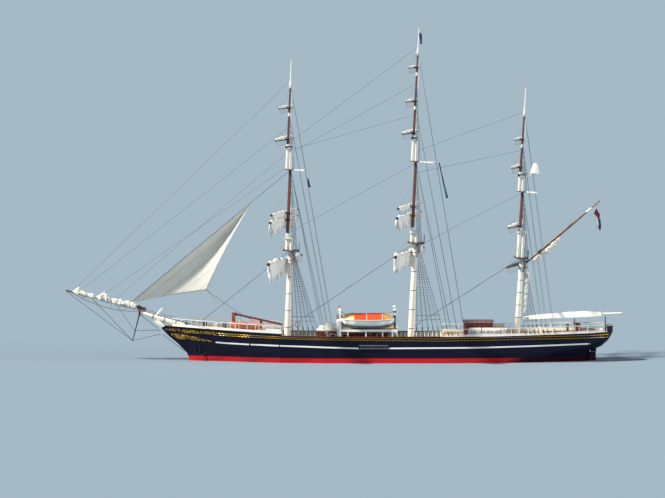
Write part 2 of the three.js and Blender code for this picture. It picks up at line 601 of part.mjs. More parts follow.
function buildWheel() {
  const { x, radius, rimRadius, rim, spoke, hubZ, boxHalf, boxLength, ahead } = WHEEL;
  const { shaftHalf, shaftDrop, shaftEnd } = WHEEL;
  const ring = new THREE.TorusGeometry(rimRadius, rim, 4, 16);
  const spokes = [0, 1, 2, 3].map((turn) => {
    const bar = new THREE.BoxGeometry(2 * radius, spoke, spoke);
    bar.rotateZ(turn * Math.PI / 4);
    return bar;
  });
  const wheel = joined(ring, ...spokes);
  wheel.rotateY(Math.PI / 2);
  wheel.translate(boxLength / 2 + ahead, 0, hubZ);
  const pedestal = box(-boxLength / 2, boxLength / 2, -boxHalf, boxHalf, 0, hubZ);
  const shaftX = boxLength / 2 + ahead + shaftEnd;
  const shaft = box(0, shaftX, -shaftHalf, shaftHalf, hubZ - shaftDrop, hubZ + shaftHalf);
  const foot = valueAt(POOP_DECK, x - boxLength / 2) + GAP;
  piece(place(ship, x, 0, foot), 'steering_wheel', joined(pedestal, shaft, wheel), material(MAHOGANY, 0.4));
}

// Bowsprit

function buildBowsprit() {
  const { heel, cap, heelRadius, capRadius } = BOWSPRIT;
  const spar = taperedSpar(heel, cap, heelRadius, capRadius);
  const [stem, beforeCrane] = FORECASTLE_DECK;
  const belowZ = CUTTER.underDeckZ;
  const underDeck = [[beforeCrane[0], belowZ], beforeCrane, stem, [stem[0], belowZ]];
  const cutAtDeck = sideSlab(underDeck, CUTTER.half);
  const { x: capX, y: capY, below, above } = CAP_HALF;
  const capBlock = box(cap[0] - capX, cap[0] + capX, -capY, capY, cap[1] - below, cap[1] + above);
  const striker = taperedSpar(STRIKER.top, STRIKER.foot, STRIKER.radius, STRIKER.footRadius, YARD_SIDES);
  const boomHole = jibBoomForm(GAP);
  cutAtDeck.translate(0, 0, GAP);
  piece(ship, 'bowsprit', cut(joined(spar, capBlock, striker), cutAtDeck, boomHole), material(CREAM, 0.5));
}

function jibBoomForm(grown = 0) {
  const { heel, tip, heelRadius, tipRadius } = JIB_BOOM;
  return taperedSpar(heel, tip, heelRadius + grown, tipRadius + grown);
}

// Masts: each group stands at the waterline and leans aft by its rake

function mastRadiusAt({ heelRadius, hounds, top, crosstrees, poleFoot }, section, height) {
  const { heel, head } = TOPMAST_RADIUS;
  const tapers = {
    lower: [0, top, heelRadius, hounds],
    topmast: [top, crosstrees, heel, head],
    topgallant: [crosstrees, poleFoot, TOPGALLANT_RADIUS.heel, TOPGALLANT_RADIUS.pole],
  };
  return THREE.MathUtils.mapLinear(height, ...tapers[section]);
}

function parrelSeats(mast, section) {
  const carried = YARDS.filter(([name, , carrier]) => name === mast.name && carrier === section);
  return carried.flatMap(([, , , height]) => {
    const top = height - PARREL.half - GAP;
    const radius = mastRadiusAt(mast, section, top);
    const reach = radius + PARREL.clearance + PARREL.wall;
    return [[top - PARREL.seat, radius], [top, reach], [top, radius]];
  });
}

// The lower yard has only a truss ahead of the mast, so its seat is a shelf on the mast's front
function trussShelf(mast) {
  const [, , , height] = YARDS.find(([name, , carrier]) => name === mast.name && carrier === 'lower');
  const top = height - PARREL.half - GAP;
  const face = mastRadiusAt(mast, 'lower', top);
  const reach = face + PARREL.clearance + PARREL.wall;
  return box(face / 2, reach, -TRUSS.shelfHalf, TRUSS.shelfHalf, top - PARREL.seat, top);
}

function capWithHole(height, forward, sparRadius) {
  const { thickness, wall } = DOUBLING_CAP;
  const reach = sparRadius + wall;
  const block = box(-LOWER_HEAD_RADIUS - wall, forward + reach, -reach, reach, height - thickness, height);
  const hole = turned([[height - CUT_REACH, sparRadius + GAP], [height + CUT_REACH, sparRadius + GAP]]);
  hole.translate(forward, 0, 0);
  return cut(block, hole);
}

function platform(height, aft, { thickness, forward, half, middle }) {
  const shape = new THREE.Shape();
  shape.moveTo(-aft, -half);
  shape.lineTo(middle, -half);
  shape.quadraticCurveTo(forward, -half, forward, 0);
  shape.quadraticCurveTo(forward, half, middle, half);
  shape.lineTo(-aft, half);
  const slab = new THREE.ExtrudeGeometry(shape, { depth: thickness, bevelEnabled: false, curveSegments: 4 });
  slab.translate(0, 0, height - thickness);
  return slab;
}

function outriggers(aft, out, height) {
  return [1, -1].map((sign) => {
    const path = [[-TOPMAST_RADIUS.head / 2, 0, height], [-aft, sign * out, height]];
    return strip(path, OUTRIGGER_HALF * 2, OUTRIGGER_HALF * 2);
  });
}

function buildLowerMast(mast, group) {
  const { name, x, rake, deck, hounds, top, topAft, lowerHead } = mast;
  const lean = THREE.MathUtils.degToRad(rake);
  const deckX = x - valueAt(deck, x) * Math.tan(lean);
  const heelWidth = mastRadiusAt(mast, 'lower', valueAt(deck, x));
  const heel = (valueAt(deck, deckX - heelWidth) + GAP) / Math.cos(lean) + heelWidth * Math.tan(lean);
  const shoulder = top - PLATFORM.thickness / 2;
  const profile = [[heel, heelWidth], [shoulder, hounds], [shoulder, LOWER_HEAD_RADIUS],
    [lowerHead, LOWER_HEAD_RADIUS]];
  const parts = [
    turned(profile),
    platform(top, topAft, PLATFORM),
    capWithHole(lowerHead, TOPMAST_OFFSET, TOPMAST_RADIUS.heel),
    trussShelf(mast),
  ];
  if (name === 'mizzen') parts.push(gooseneckPlate(GAFF), gooseneckPlate(BOOM));
  piece(group, `${name}_lower_mast`, joined(...parts), material(CREAM, 0.45));
}

function buildTopmast(mast, group) {
  const { name, top, lowerHead, crosstrees, topmastHead, outriggerAft, outriggerOut } = mast;
  const seats = parrelSeats(mast, 'topmast');
  const { heel, head } = TOPMAST_RADIUS;
  const profile = [[top + GAP, heel], [lowerHead + DOUBLING_CAP.above, heel], ...seats,
    [crosstrees, head], [topmastHead, head]];
  const parts = [
    turned(profile),
    platform(crosstrees, CROSSTREES.aft, CROSSTREES),
    capWithHole(topmastHead, TOPGALLANT_OFFSET, TOPGALLANT_RADIUS.heel),
    ...outriggers(outriggerAft, outriggerOut, crosstrees - CROSSTREES.thickness),
  ];
  if (name === 'mizzen') parts.push(...radome());
  const whole = joined(...parts);
  whole.translate(TOPMAST_OFFSET, 0, 0);
  piece(group, `${name}_topmast`, whole, material(SPAR_BROWN, 0.45));
}

function radome() {
  const { back, z, arm, shape } = RADOME;
  const dome = turned(shape);
  dome.translate(-back, 0, z);
  const bracket = box(-back, 0, -arm, arm, z - 2 * arm, z);
  const socket = box(-back - arm, -back + arm, -arm, arm, z - arm, z + OVERSHOOT);
  return [dome, bracket, socket];
}

function buildTopgallant(mast, group) {
  const { name, crosstrees, topmastHead, poleFoot, truck } = mast;
  const seats = parrelSeats(mast, 'topgallant');
  const { heel, pole, truck: tip } = TOPGALLANT_RADIUS;
  const profile = [[crosstrees + GAP, heel], [topmastHead + OVERSHOOT, heel], ...seats,
    ...POLE_SHAPE.map(([above, share]) => [poleFoot + above, pole * share]),
    ...TRUCK_SHAPE.map(([above, share]) => [truck + above, tip * share])];
  const whole = turned(profile);
  whole.translate(TOPMAST_OFFSET + TOPGALLANT_OFFSET, 0, 0);
  piece(group, `${name}_topgallant_mast`, whole, material(SPAR_BROWN, 0.45));
}

// Yards

// Columns of the two shapes below: share of half the yard, share of the radius
const YARD_SHAPE = [[-1, 0.5], [-0.3, 1], [0.3, 1], [1, 0.5]];
const FURLED_SEAT = { ofYard: 0.6, ofSail: 0.5 };
const FURLED_SHAPE = [[-0.9, 0.05], [-0.86, 0.6], [-0.3, 1], [0.3, 1], [0.86, 0.6], [0.9, 0.05]];

function alongYard(shape, half, radius) {
  const roll = turned(shape.map(([share, width]) => [share * half, width * radius]), YARD_SIDES);
  roll.rotateX(-Math.PI / 2);
  return roll;
}

function buildYard(mast, group, [, yard, carrier, height, length, radius, forward, sailRadius]) {
  const inner = mastRadiusAt(mast, carrier, height - PARREL.half) + PARREL.clearance;
  const ring = ringAround(inner, inner + PARREL.wall, -PARREL.half, PARREL.half);
  const behind = box(-CUT_REACH, inner * TRUSS.from, -CUT_REACH, CUT_REACH, -CUT_REACH, CUT_REACH);
  const collar = carrier === 'lower' ? cut(ring, behind) : ring;
  const arm = box(inner + PARREL.wall / 3, forward, -PARREL.arm, PARREL.arm, -PARREL.arm, PARREL.arm);
  const spar = alongYard(YARD_SHAPE, length / 2, radius);
  spar.translate(forward, 0, 0);
  const parts = [spar, collar, arm];
  if (sailRadius > 0) {
    const roll = alongYard(FURLED_SHAPE, length / 2, sailRadius);
    roll.translate(forward, 0, radius * FURLED_SEAT.ofYard + sailRadius * FURLED_SEAT.ofSail);
    parts.push(roll);
  }
  const name = `${mast.name}_${yard}_yard`;
  const holder = place(group, CARRIER_OFFSET[carrier], 0, height);
  holder.rotation.z = -THREE.MathUtils.degToRad(mast.brace);
  piece(holder, name, joined(...parts), material(sailRadius > 0 ? CANVAS : SPAR_BROWN, 0.6));
  const bunch = BUNCHES.find((entry) => entry.yard === name);
  if (bunch) buildBunch(holder, bunch, length / 2, radius, forward);
}

// A bunched sail's section. Columns: share of its thickness from the back, share of its depth
const BUNCH_SHAPE = [[0, 0.15], [0.2, 0], [0.8, 0], [1, 0.3], [0.85, 0.85], [0.5, 1], [0, 0.8]];
const BUNCH_BACK = 0.27;

function buildBunch(holder, { name, sections }, half, radius, forward) {
  const bundle = loft(sections.map(([share, depth, thick]) => {
    const back = forward - Math.min(thick / 2, BUNCH_BACK);
    const width = forward + thick / 2 - back;
    const topZ = -radius - GAP;
    return BUNCH_SHAPE.map(([ahead, down]) => [back + ahead * width, share * half, topZ - depth * down]);
  }));
  piece(holder, name, bundle, material(CANVAS, 0.85));
}

// Spanker gaff and boom, on goosenecks behind the mizzen lower mast

function gooseneckPlate({ z, back }) {
  const { heelRadius, heelHalf, plate } = GOOSENECK;
  const top = z - heelHalf - GAP;
  return box(-back - heelRadius, 0, -heelRadius, heelRadius, top - plate, top);
}

function sparOnGooseneck(size, pitch) {
  const { heelRadius, heelHalf } = GOOSENECK;
  const heel = turned([[-heelHalf, heelRadius], [heelHalf, heelRadius]]);
  const spar = turned(sparProfile(size));
  spar.rotateY(-Math.PI / 2 + pitch);
  const below = box(-CUT_REACH, CUT_REACH, -CUT_REACH, CUT_REACH, -CUT_REACH, -heelHalf);
  return cut(joined(heel, spar), below);
}

// The mast leans aft by its rake, so a spar's slope to the water needs the rake added
function pitchOf(mast, slope) {
  return THREE.MathUtils.degToRad(slope + mast.rake);
}

function sparProfile({ length, radius, tipRadius }) {
  const { heel, fullFrom, fullTo } = SPAR_SHAPE;
  return [[0, radius * heel], [length * fullFrom, radius], [length * fullTo, radius], [length, tipRadius]];
}

function sparRadiusAt(spar, distance) {
  const profile = sparProfile(spar);
  const past = profile.findIndex(([along]) => along > distance);
  const [[fromAlong, fromRadius], [toAlong, toRadius]] = profile.slice(past - 1, past + 1);
  return THREE.MathUtils.mapLinear(distance, fromAlong, toAlong, fromRadius, toRadius);
}

function buildGaff(mast, group) {
  const pitch = pitchOf(mast, GAFF.slope);
  const holder = place(group, -GAFF.back, 0, GAFF.z);
  piece(holder, 'spanker_gaff', sparOnGooseneck(GAFF, pitch), material(SPAR_BROWN, 0.45));
  buildBrailedSail(holder, pitch);
  buildEnsign(mast, holder, pitch);
}

function buildBrailedSail(holder, pitch) {
  const { throat, along, depth, half, footZ, nearMast } = BRAILED_SAIL;
  const { rollFoot, rollMiddle, rollTop, endTuck } = BRAILED_SAIL;
  const under = GAFF.radius + GAP;
  const belowGaff = (distance, drop) => [
    -distance * Math.cos(pitch) - drop * Math.sin(pitch),
    distance * Math.sin(pitch) - drop * Math.cos(pitch),
  ];
  const foot = footZ - GAFF.z;
  const outline = [
    belowGaff(throat, under), [nearMast, -depth], [nearMast, foot], [nearMast - rollFoot, foot],
    [nearMast - rollMiddle[0], -rollMiddle[1]], [nearMast - rollTop[0], -rollTop[1]],
    belowGaff(along - endTuck[0], under + endTuck[1]), belowGaff(along, under),
  ];
  piece(holder, 'spanker_sail', sideSlab(outline, half), material(CANVAS, 0.85));
}

function buildEnsign(mast, holder, pitch) {
  const { at, halyard, hoist, levels } = ENSIGN;
  const lean = THREE.MathUtils.degToRad(mast.rake);
  const spar = sparRadiusAt(GAFF, at - levels[0][2]);
  const belowAxis = (spar + 2 * GAP) / Math.cos(pitch) + halyard * Math.tan(pitch);
  const under = belowAxis / (1 - Math.tan(lean) * Math.tan(pitch));
  const flag = loft([[under, halyard, halyard * 2], ...levels].map(([drop, thick, width]) => {
    const front = drop * Math.tan(lean) + Math.min(width / 2, hoist);
    const back = front - width;
    return [[back, -thick, -drop], [front, -thick, -drop], [front, thick, -drop], [back, thick, -drop]];
  }));
  flag.translate(-at * Math.cos(pitch), 0, at * Math.sin(pitch));
  piece(holder, 'ensign', flag, material(FLAG_RED, 0.8));
}

function buildBoom(mast, group) {
  const pitch = pitchOf(mast, BOOM.slope);
  const holder = place(group, -BOOM.back, 0, BOOM.z);
  piece(holder, 'spanker_boom', sparOnGooseneck(BOOM, pitch), material(WHITE, 0.45));
  const { ridgeHalf, thickness, eaves, stations } = BOOM_TENT;
  const tent = loft(stations.map(([distance, lift, spread]) => {
    const ridge = sparRadiusAt(BOOM, distance) + GAP + lift;
    const inside = [[spread, eaves], [ridgeHalf, ridge], [-ridgeHalf, ridge], [-spread, eaves]];
    const outside = inside.map(([y, z]) => [y, z + thickness]).reverse();
    return [...inside, ...outside].map(([y, z]) => [-distance, y, z]);
  }));
  tent.rotateY(pitch);
  piece(holder, 'boom_tent', tent, material(CANVAS, 0.8));
}

// Stays and the jib

// Where a mast section's axis is at a height, as [x, z] in the ship's frame
function onMast(mast, section, height) {
  const lean = THREE.MathUtils.degToRad(mast.rake);
  const offset = CARRIER_OFFSET[section];
  const along = height * Math.cos(lean) + offset * Math.sin(lean);
  return [mast.x + offset * Math.cos(lean) - height * Math.sin(lean), along];
}

// How far short of an axis a stay ends, so that it just meets the spar's surface
function standoff(angle, sparRadius) {
  return (sparRadius + GAP + STAY_RADIUS * Math.abs(Math.cos(angle))) / Math.abs(Math.sin(angle));
}

function buildStay(name, from, to, fromStandoff, toStandoff) {
  const direction = new THREE.Vector2(to[0] - from[0], to[1] - from[1]).normalize();
  const start = [from[0] + direction.x * fromStandoff, from[1] + direction.y * fromStandoff];
  const end = [to[0] - direction.x * toStandoff, to[1] - direction.y * toStandoff];
  const wire = taperedSpar(start, end, STAY_RADIUS, STAY_RADIUS, YARD_SIDES);
  piece(ship, name, wire, material(DARK_STEEL, 0.5, 0.6));
}

function angleOf(from, to) {
  return Math.atan2(to[1] - from[1], to[0] - from[0]);
}

function mastAngle(mast) {
  return Math.PI / 2 + THREE.MathUtils.degToRad(mast.rake);
}

// The lower mast's radius where a stay from its top meets its front
function houndsFace(mast) {
  return mastRadiusAt(mast, 'lower', mast.top - STAY_MEETS_MAST);
}

function buildForestay(fore) {
  const head = onMast(fore, 'lower', fore.top);
  const foot = [FORESTAY_DECK_X, valueAt(FORECASTLE_DECK, FORESTAY_DECK_X)];
  const slope = angleOf(head, foot);
  const clearOfDeck = (GAP + STAY_RADIUS * Math.cos(slope)) / Math.abs(Math.sin(slope)) + RAIL_LIFT;
  buildStay('forestay', head, foot, standoff(slope - mastAngle(fore), houndsFace(fore)), clearOfDeck);
}

function buildJibStay(fore) {
  const { heel, tip, heelRadius, tipRadius } = JIB_BOOM;
  const head = onMast(fore, 'topmast', JIB_STAY_HEAD_Z);
  const slope = angleOf(head, JIB_TACK);
  const boomRadius = THREE.MathUtils.mapLinear(JIB_TACK[0], heel[0], tip[0], heelRadius, tipRadius);
  const mastRadius = mastRadiusAt(fore, 'topmast', JIB_STAY_HEAD_Z - TOPMAST_RADIUS.head);
  buildStay('jib_stay', head, JIB_TACK, standoff(slope - mastAngle(fore), mastRadius),
    standoff(slope - angleOf(heel, tip), boomRadius));
}

function buildMastStay(name, after, ahead, footHeight) {
  const head = onMast(after, 'lower', after.top);
  const foot = onMast(ahead, 'lower', footHeight);
  const slope = angleOf(head, foot);
  buildStay(name, head, foot, standoff(slope - mastAngle(after), houndsFace(after)),
    standoff(slope - mastAngle(ahead), mastRadiusAt(ahead, 'lower', footHeight)));
}

// The jib: its luff lies along the jib stay, and it bellies away to starboard
function buildJib(fore) {
  const { head, clew, belly, thickness, rows, columns } = JIB;
  const [headX, headZ] = onMast(fore, 'topmast', JIB_STAY_HEAD_Z);
  const tack = new THREE.Vector3(JIB_TACK[0], 0, JIB_TACK[1]);
  const along = new THREE.Vector3(headX, 0, headZ).sub(tack);
  const inboard = new THREE.Vector3(along.z, 0, -along.x).normalize().multiplyScalar(-STAY_RADIUS - GAP);
  const low = tack.clone().addScaledVector(along, JIB.tack).add(inboard);
  const high = tack.clone().addScaledVector(along, head).add(inboard);
  const corner = new THREE.Vector3(...clew);
  const pointAt = (up, out, side) => {
    const onLuff = low.clone().lerp(high, up);
    const onLeech = corner.clone().lerp(high, up);
    const point = onLuff.lerp(onLeech, out);
    const fullness = 4 * out * (1 - out) * (1 - up) * JIB.draftLow * (1 + up);
    point.y -= belly * fullness + side * thickness / 2;
    return point.toArray();
  };
  const across = Array.from({ length: columns + 1 }, (_, column) => column / columns);
  const rings = Array.from({ length: rows + 1 }, (_, row) => {
    const up = Math.min(row / rows, JIB.topRow);
    const port = across.map((out) => pointAt(up, out, -1));
    const starboard = across.map((out) => pointAt(up, out, 1));
    return [...starboard, ...port.reverse()];
  });
  piece(ship, 'jib', loft(rings), material(CANVAS, 0.85));
}

// Rudder and propeller

function buildRudder() {
  const { axisX, trailX, bottomZ, topZ, half, trailHalf, stock } = RUDDER;
  const shape = new THREE.Shape();
  shape.moveTo(trailX, -trailHalf);
  shape.lineTo(axisX, -half);
  shape.absarc(axisX, 0, half, -Math.PI / 2, Math.PI / 2, false);
  shape.lineTo(trailX, trailHalf);
  const depth = topZ - bottomZ;
  const blade = new THREE.ExtrudeGeometry(shape, { depth, bevelEnabled: false, curveSegments: 6 });
  blade.translate(0, 0, bottomZ);
  const shaft = turned([[topZ - OVERSHOOT, stock], [COUNTER_Z - GAP, stock]]);
  shaft.translate(axisX, 0, 0);
  piece(ship, 'rudder', joined(blade, shaft), material(HULL_BLACK, 0.5));
}

function buildPropeller() {
  const { z, hub, bladesAt, pitch } = PROPELLER;
  const { count, width, half } = BLADES;
  const parts = [turned(hub)];
  for (let blade = 0; blade < count; blade++) {
    const wing = loft(BLADE_SECTIONS.map(([reach, share]) => {
      const wide = width * share / 2;
      return [[-wide, -half, reach], [wide, -half, reach], [wide, half, reach], [-wide, half, reach]];
    }));
    wing.rotateZ(THREE.MathUtils.degToRad(90 - pitch));
    wing.rotateY(Math.PI / 2);
    wing.rotateZ(blade * 2 * Math.PI / count);
    wing.translate(0, 0, bladesAt);
    parts.push(wing);
  }
  const whole = joined(...parts);
  whole.rotateY(-Math.PI / 2);
  piece(place(ship, APERTURE.fromX - GAP, 0, z), 'propeller', whole, material(BRONZE, 0.3, 0.9));
}

// Assembly

buildHull();
buildBulwarks();
for (const [side, sign] of [['port', 1], ['starboard', -1]]) {
  RAILS.forEach((rail) => buildRail(rail, side, sign));
  buildLifeboat(side, sign);
  buildLifeRafts(side, sign);
}
buildMidshipHouse();
buildBoatDeck();
buildPoopHouse();
buildWheel();
buildRescueBoat();
buildCrane();
buildBowsprit();
piece(ship, 'jib_boom', jibBoomForm(), material(SPAR_BROWN, 0.5));
for (const mast of MASTS) {
  const group = place(ship, mast.x, 0, 0);
  group.rotation.y = -THREE.MathUtils.degToRad(mast.rake);
  buildLowerMast(mast, group);
  buildTopmast(mast, group);
  buildTopgallant(mast, group);
  YARDS.filter(([name]) => name === mast.name).forEach((yard) => buildYard(mast, group, yard));
  if (mast.name === 'mizzen') {
    buildGaff(mast, group);
    buildBoom(mast, group);
  }
}
const [fore, main, mizzen] = MASTS;
buildForestay(fore);
buildJibStay(fore);
buildMastStay('main_stay', main, fore, 4.3);
buildMastStay('mizzen_stay', mizzen, main, 4.4);
buildJib(fore);
buildRudder();
buildPropeller();

export default ship;
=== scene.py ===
"""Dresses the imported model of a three-masted tall ship and sets up its studio picture.
"""

import json
import math

import bpy
from mathutils import Matrix, Vector, noise
from mathutils.bvhtree import BVHTree


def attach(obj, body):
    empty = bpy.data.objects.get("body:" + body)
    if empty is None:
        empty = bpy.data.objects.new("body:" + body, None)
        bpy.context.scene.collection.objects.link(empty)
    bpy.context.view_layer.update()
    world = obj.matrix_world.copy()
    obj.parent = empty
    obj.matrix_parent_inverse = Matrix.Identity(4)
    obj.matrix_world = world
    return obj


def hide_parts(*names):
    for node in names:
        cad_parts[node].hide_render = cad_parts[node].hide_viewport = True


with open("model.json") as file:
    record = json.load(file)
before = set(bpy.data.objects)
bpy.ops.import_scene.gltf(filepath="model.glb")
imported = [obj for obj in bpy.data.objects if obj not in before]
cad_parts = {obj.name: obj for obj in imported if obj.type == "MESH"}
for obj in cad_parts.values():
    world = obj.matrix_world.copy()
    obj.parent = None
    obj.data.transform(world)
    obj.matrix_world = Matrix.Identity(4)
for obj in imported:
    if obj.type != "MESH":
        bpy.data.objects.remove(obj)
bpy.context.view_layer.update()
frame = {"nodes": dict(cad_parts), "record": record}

MODEL = 0.5

# The photograph's scale and view
PHOTO_WIDTH = 665
PHOTO_HEIGHT = 498
PIXELS_PER_METRE = 7.35 / MODEL
MIDSHIP_PIXEL_X = 390
WATERLINE_PIXEL_Y = 360.7
CAMERA_ELEVATION = 3.6
CAMERA_DISTANCE = 400
SENSOR = 36

# Decks: x, z from the bow aft
FORECASTLE_DECK = [(31.6, 4.85), (27, 4.62), (21, 4.3), (14.7, 3.97)]
MAIN_DECK = [(14.7, 2.35), (7, 2.2), (-7, 2.2)]
POOP_DECK = [(-7, 3.6), (-12, 3.6), (-19, 3.75), (-29.25, 4.0)]
BULWARK_TOP = [(14.7, 3.68), (5, 3.56), (-7, 3.58)]

# Masts. Heights are above the waterline, along the mast
MASTS = {
    "fore": dict(x=14.14, rake=2.4, heel=0.44, hounds=0.36, top=15.1, lower_head=16.9, crosstrees=26.1,
                 topmast_head=29.2, pole_foot=38.0, deck_z=2.35, brace=10.5),
    "main": dict(x=-2.69, rake=2.8, heel=0.46, hounds=0.38, top=16.15, lower_head=17.7, crosstrees=27.2,
                 topmast_head=30.4, pole_foot=42.5, deck_z=2.2, brace=10),
    "mizzen": dict(x=-17.04, rake=3.7, heel=0.4, hounds=0.32, top=14.1, lower_head=17.7, crosstrees=23.1,
                   topmast_head=25.4, pole_foot=34.2, deck_z=3.7, brace=11),
}
SECTION_OFFSET = {"lower": 0, "topmast": 0.52, "topgallant": 0.98}
SECTION_RADIUS = {"lower": 0.42, "topmast": 0.22, "topgallant": 0.17}

# A yard longer than this has higher lifts and lower footropes
LONG_YARD = 16
# Yards: mast, yard, carried by, height, length, radius, forward of that axis, furled sail's radius
YARDS = [
    ("fore", "lower", "lower", 13.7, 24.5, 0.26, 0.78, 0),
    ("fore", "lower_topsail", "topmast", 19.2, 20.5, 0.21, 0.62, 0),
    ("fore", "upper_topsail", "topmast", 20.15, 19.0, 0.2, 0.62, 0),
    ("fore", "topgallant", "topgallant", 30.1, 13.0, 0.15, 0.54, 0.2),
    ("fore", "royal", "topgallant", 34.4, 10.0, 0.12, 0.5, 0.17),
    ("main", "lower", "lower", 14.7, 25.0, 0.27, 0.8, 0),
    ("main", "lower_topsail", "topmast", 19.8, 21.0, 0.21, 0.62, 0),
    ("main", "upper_topsail", "topmast", 21.05, 19.5, 0.2, 0.62, 0),
    ("main", "topgallant", "topgallant", 31.0, 13.0, 0.15, 0.54, 0.2),
    ("main", "royal", "topgallant", 35.3, 10.3, 0.12, 0.5, 0.16),
    ("main", "skysail", "topgallant", 39.9, 8.7, 0.1, 0.45, 0.14),
    ("mizzen", "crossjack", "lower", 13.07, 17.2, 0.2, 0.64, 0),
    ("mizzen", "topsail", "topmast", 18.3, 13.0, 0.16, 0.6, 0.2),
    ("mizzen", "topgallant", "topgallant", 26.3, 9.2, 0.12, 0.52, 0.17),
    ("mizzen", "royal", "topgallant", 30.1, 7.2, 0.1, 0.48, 0.15),
]

# Bunched sails by yard: name and share of half the yard, depth, thickness fore and aft
BUNCHES = {
    "fore_lower_yard": ("fore_course_sail", [
        (-0.85, 0.4, 0.35), (-0.6, 0.8, 0.5), (-0.3, 1.5, 0.6), (0, 1.6, 0.55), (0.3, 1.7, 0.65),
        (0.6, 2.1, 0.8), (0.78, 2.0, 0.8), (0.93, 0.9, 0.5)]),
    "fore_lower_topsail_yard": ("fore_topsail_sail", [
        (-0.85, 0.7, 0.5), (-0.55, 1.1, 0.7), (-0.2, 0.8, 0.5), (0.2, 0.9, 0.5), (0.5, 0.9, 0.6),
        (0.75, 1.7, 0.8), (0.92, 1.2, 0.6)]),
    "fore_upper_topsail_yard": ("fore_upper_topsail", [
        (-0.9, 0.15, 0.4), (-0.4, 0.3, 0.5), (0, 0.34, 0.55), (0.5, 0.34, 0.6), (0.85, 0.34, 0.6),
        (0.93, 0.2, 0.4)]),
    "main_lower_yard": ("main_course_sail", [
        (-0.85, 0.5, 0.4), (-0.6, 0.9, 0.6), (-0.3, 1.3, 0.6), (0, 1.4, 0.55), (0.3, 1.2, 0.6),
        (0.5, 1.2, 0.6), (0.72, 2.0, 0.9), (0.93, 1.7, 0.7)]),
    "main_lower_topsail_yard": ("main_topsail_sail", [
        (-0.85, 0.5, 0.4), (-0.55, 1.0, 0.7), (-0.2, 0.9, 0.5), (0.2, 1.2, 0.55), (0.5, 0.7, 0.5),
        (0.72, 1.5, 0.8), (0.92, 1.4, 0.6)]),
    "main_upper_topsail_yard": ("main_upper_topsail", [
        (-0.9, 0.05, 0.4), (-0.3, 0.08, 0.46), (0.3, 0.1, 0.5), (0.6, 0.3, 0.5), (0.8, 0.1, 0.5),
        (0.93, 0.1, 0.4)]),
}
# How far abaft its yard bunched cloth may stand near the mast
BUNCH_BACK = 0.27
# The lowest an upper topsail's cloth may hang, clear of the yard below it
UPPER_TOPSAIL_LOWEST = -0.56

# Where the shrouds come down at the rail: x
SHROUDS = {
    "fore": (13.3, 12.5, 11.8, 11.1, 10.4, 9.8),
    "main": (-3.7, -4.5, -5.3, -6.0, -6.7, -7.3),
    "mizzen": (-18.3, -19.0, -19.6, -20.2),
}
# Backstays: x at the rail, and what each reaches up to
BACKSTAYS = {
    "fore": ((9.2, "topmast"), (8.8, "topmast"), (8.3, "topgallant"), (7.7, "pole")),
    "main": ((-7.9, "topmast"), (-8.4, "topmast"), (-9.2, "topgallant"), (-10.2, "pole")),
    "mizzen": ((-20.8, "topmast"), (-21.4, "topgallant"), (-22.3, "pole")),
}

# Paint lines on the topsides: x, z. The white stripe breaks off behind the stowed ladder
WHITE_STRIPES = [
    [(23.7, 2.66), (22.4, 2.57), (11.6, 2.26), (4.3, 2.03)],
    [(0.2, 2.05), (-0.7, 2.06), (-11.6, 2.11), (-19, 2.28), (-27.1, 2.49)],
]
WHITE_STRIPE_WIDTH = 0.2
UPPER_ROPE = [(23.9, 3.95), (22.4, 3.88), (11.6, 3.43), (-1.4, 3.36), (-6.8, 3.33), (-19, 3.54),
              (-29.7, 3.67)]
LOWER_ROPE = [(23.9, 3.69), (22.4, 3.61), (11.6, 3.23), (-1.4, 3.09), (-6.8, 3.03), (-19, 3.24),
              (-29.7, 3.31)]
ROPE_RADIUS = 0.048
# Carved bands at the bow: x, low z, high z
UPPER_CARVING = [(30.6, 4.22, 4.4), (29.0, 3.95, 4.36), (27.2, 3.82, 4.28), (23.9, 3.72, 4.1),
                 (22.0, 3.72, 3.84)]
LOWER_CARVING = [(29.9, 3.5, 3.72), (28.8, 2.95, 3.72), (27.2, 2.85, 3.5), (25.6, 2.76, 3.1),
                 (24.0, 2.66, 2.8)]
BOOT_TOP_Z = 0.68
# How far apart the places are that a line or band on the topsides is laid through
TOPSIDE_SPACING = 0.4
SIDES = {"port": 1, "starboard": -1}


# Plain geometry helpers

def at(x, y, z):
    return Vector((x, y, z)) * MODEL


def table_value(table, x, column=1):
    """Reads a table that runs from the bow aft, with straight lines between its rows."""
    for before, after in zip(table, table[1:]):
        if before[0] >= x >= after[0]:
            share = (before[0] - x) / (before[0] - after[0])
            return before[column] + (after[column] - before[column]) * share
    return table[0][column] if x > table[0][0] else table[-1][column]


def steps(start, end, count):
    return [start + (end - start) * index / count for index in range(count + 1)]


def square_to(run):
    """A direction square to another one."""
    helper = Vector((0, 0, 1)) if abs(run.z) < 0.9 else Vector((1, 0, 0))
    return run.cross(helper).normalized()


def circle(centre, side, other, radius, sides):
    """Points round a centre, in the plane of two directions."""
    angles = [2 * math.pi * turn / sides for turn in range(sides)]
    return [centre + (side * math.cos(angle) + other * math.sin(angle)) * radius for angle in angles]


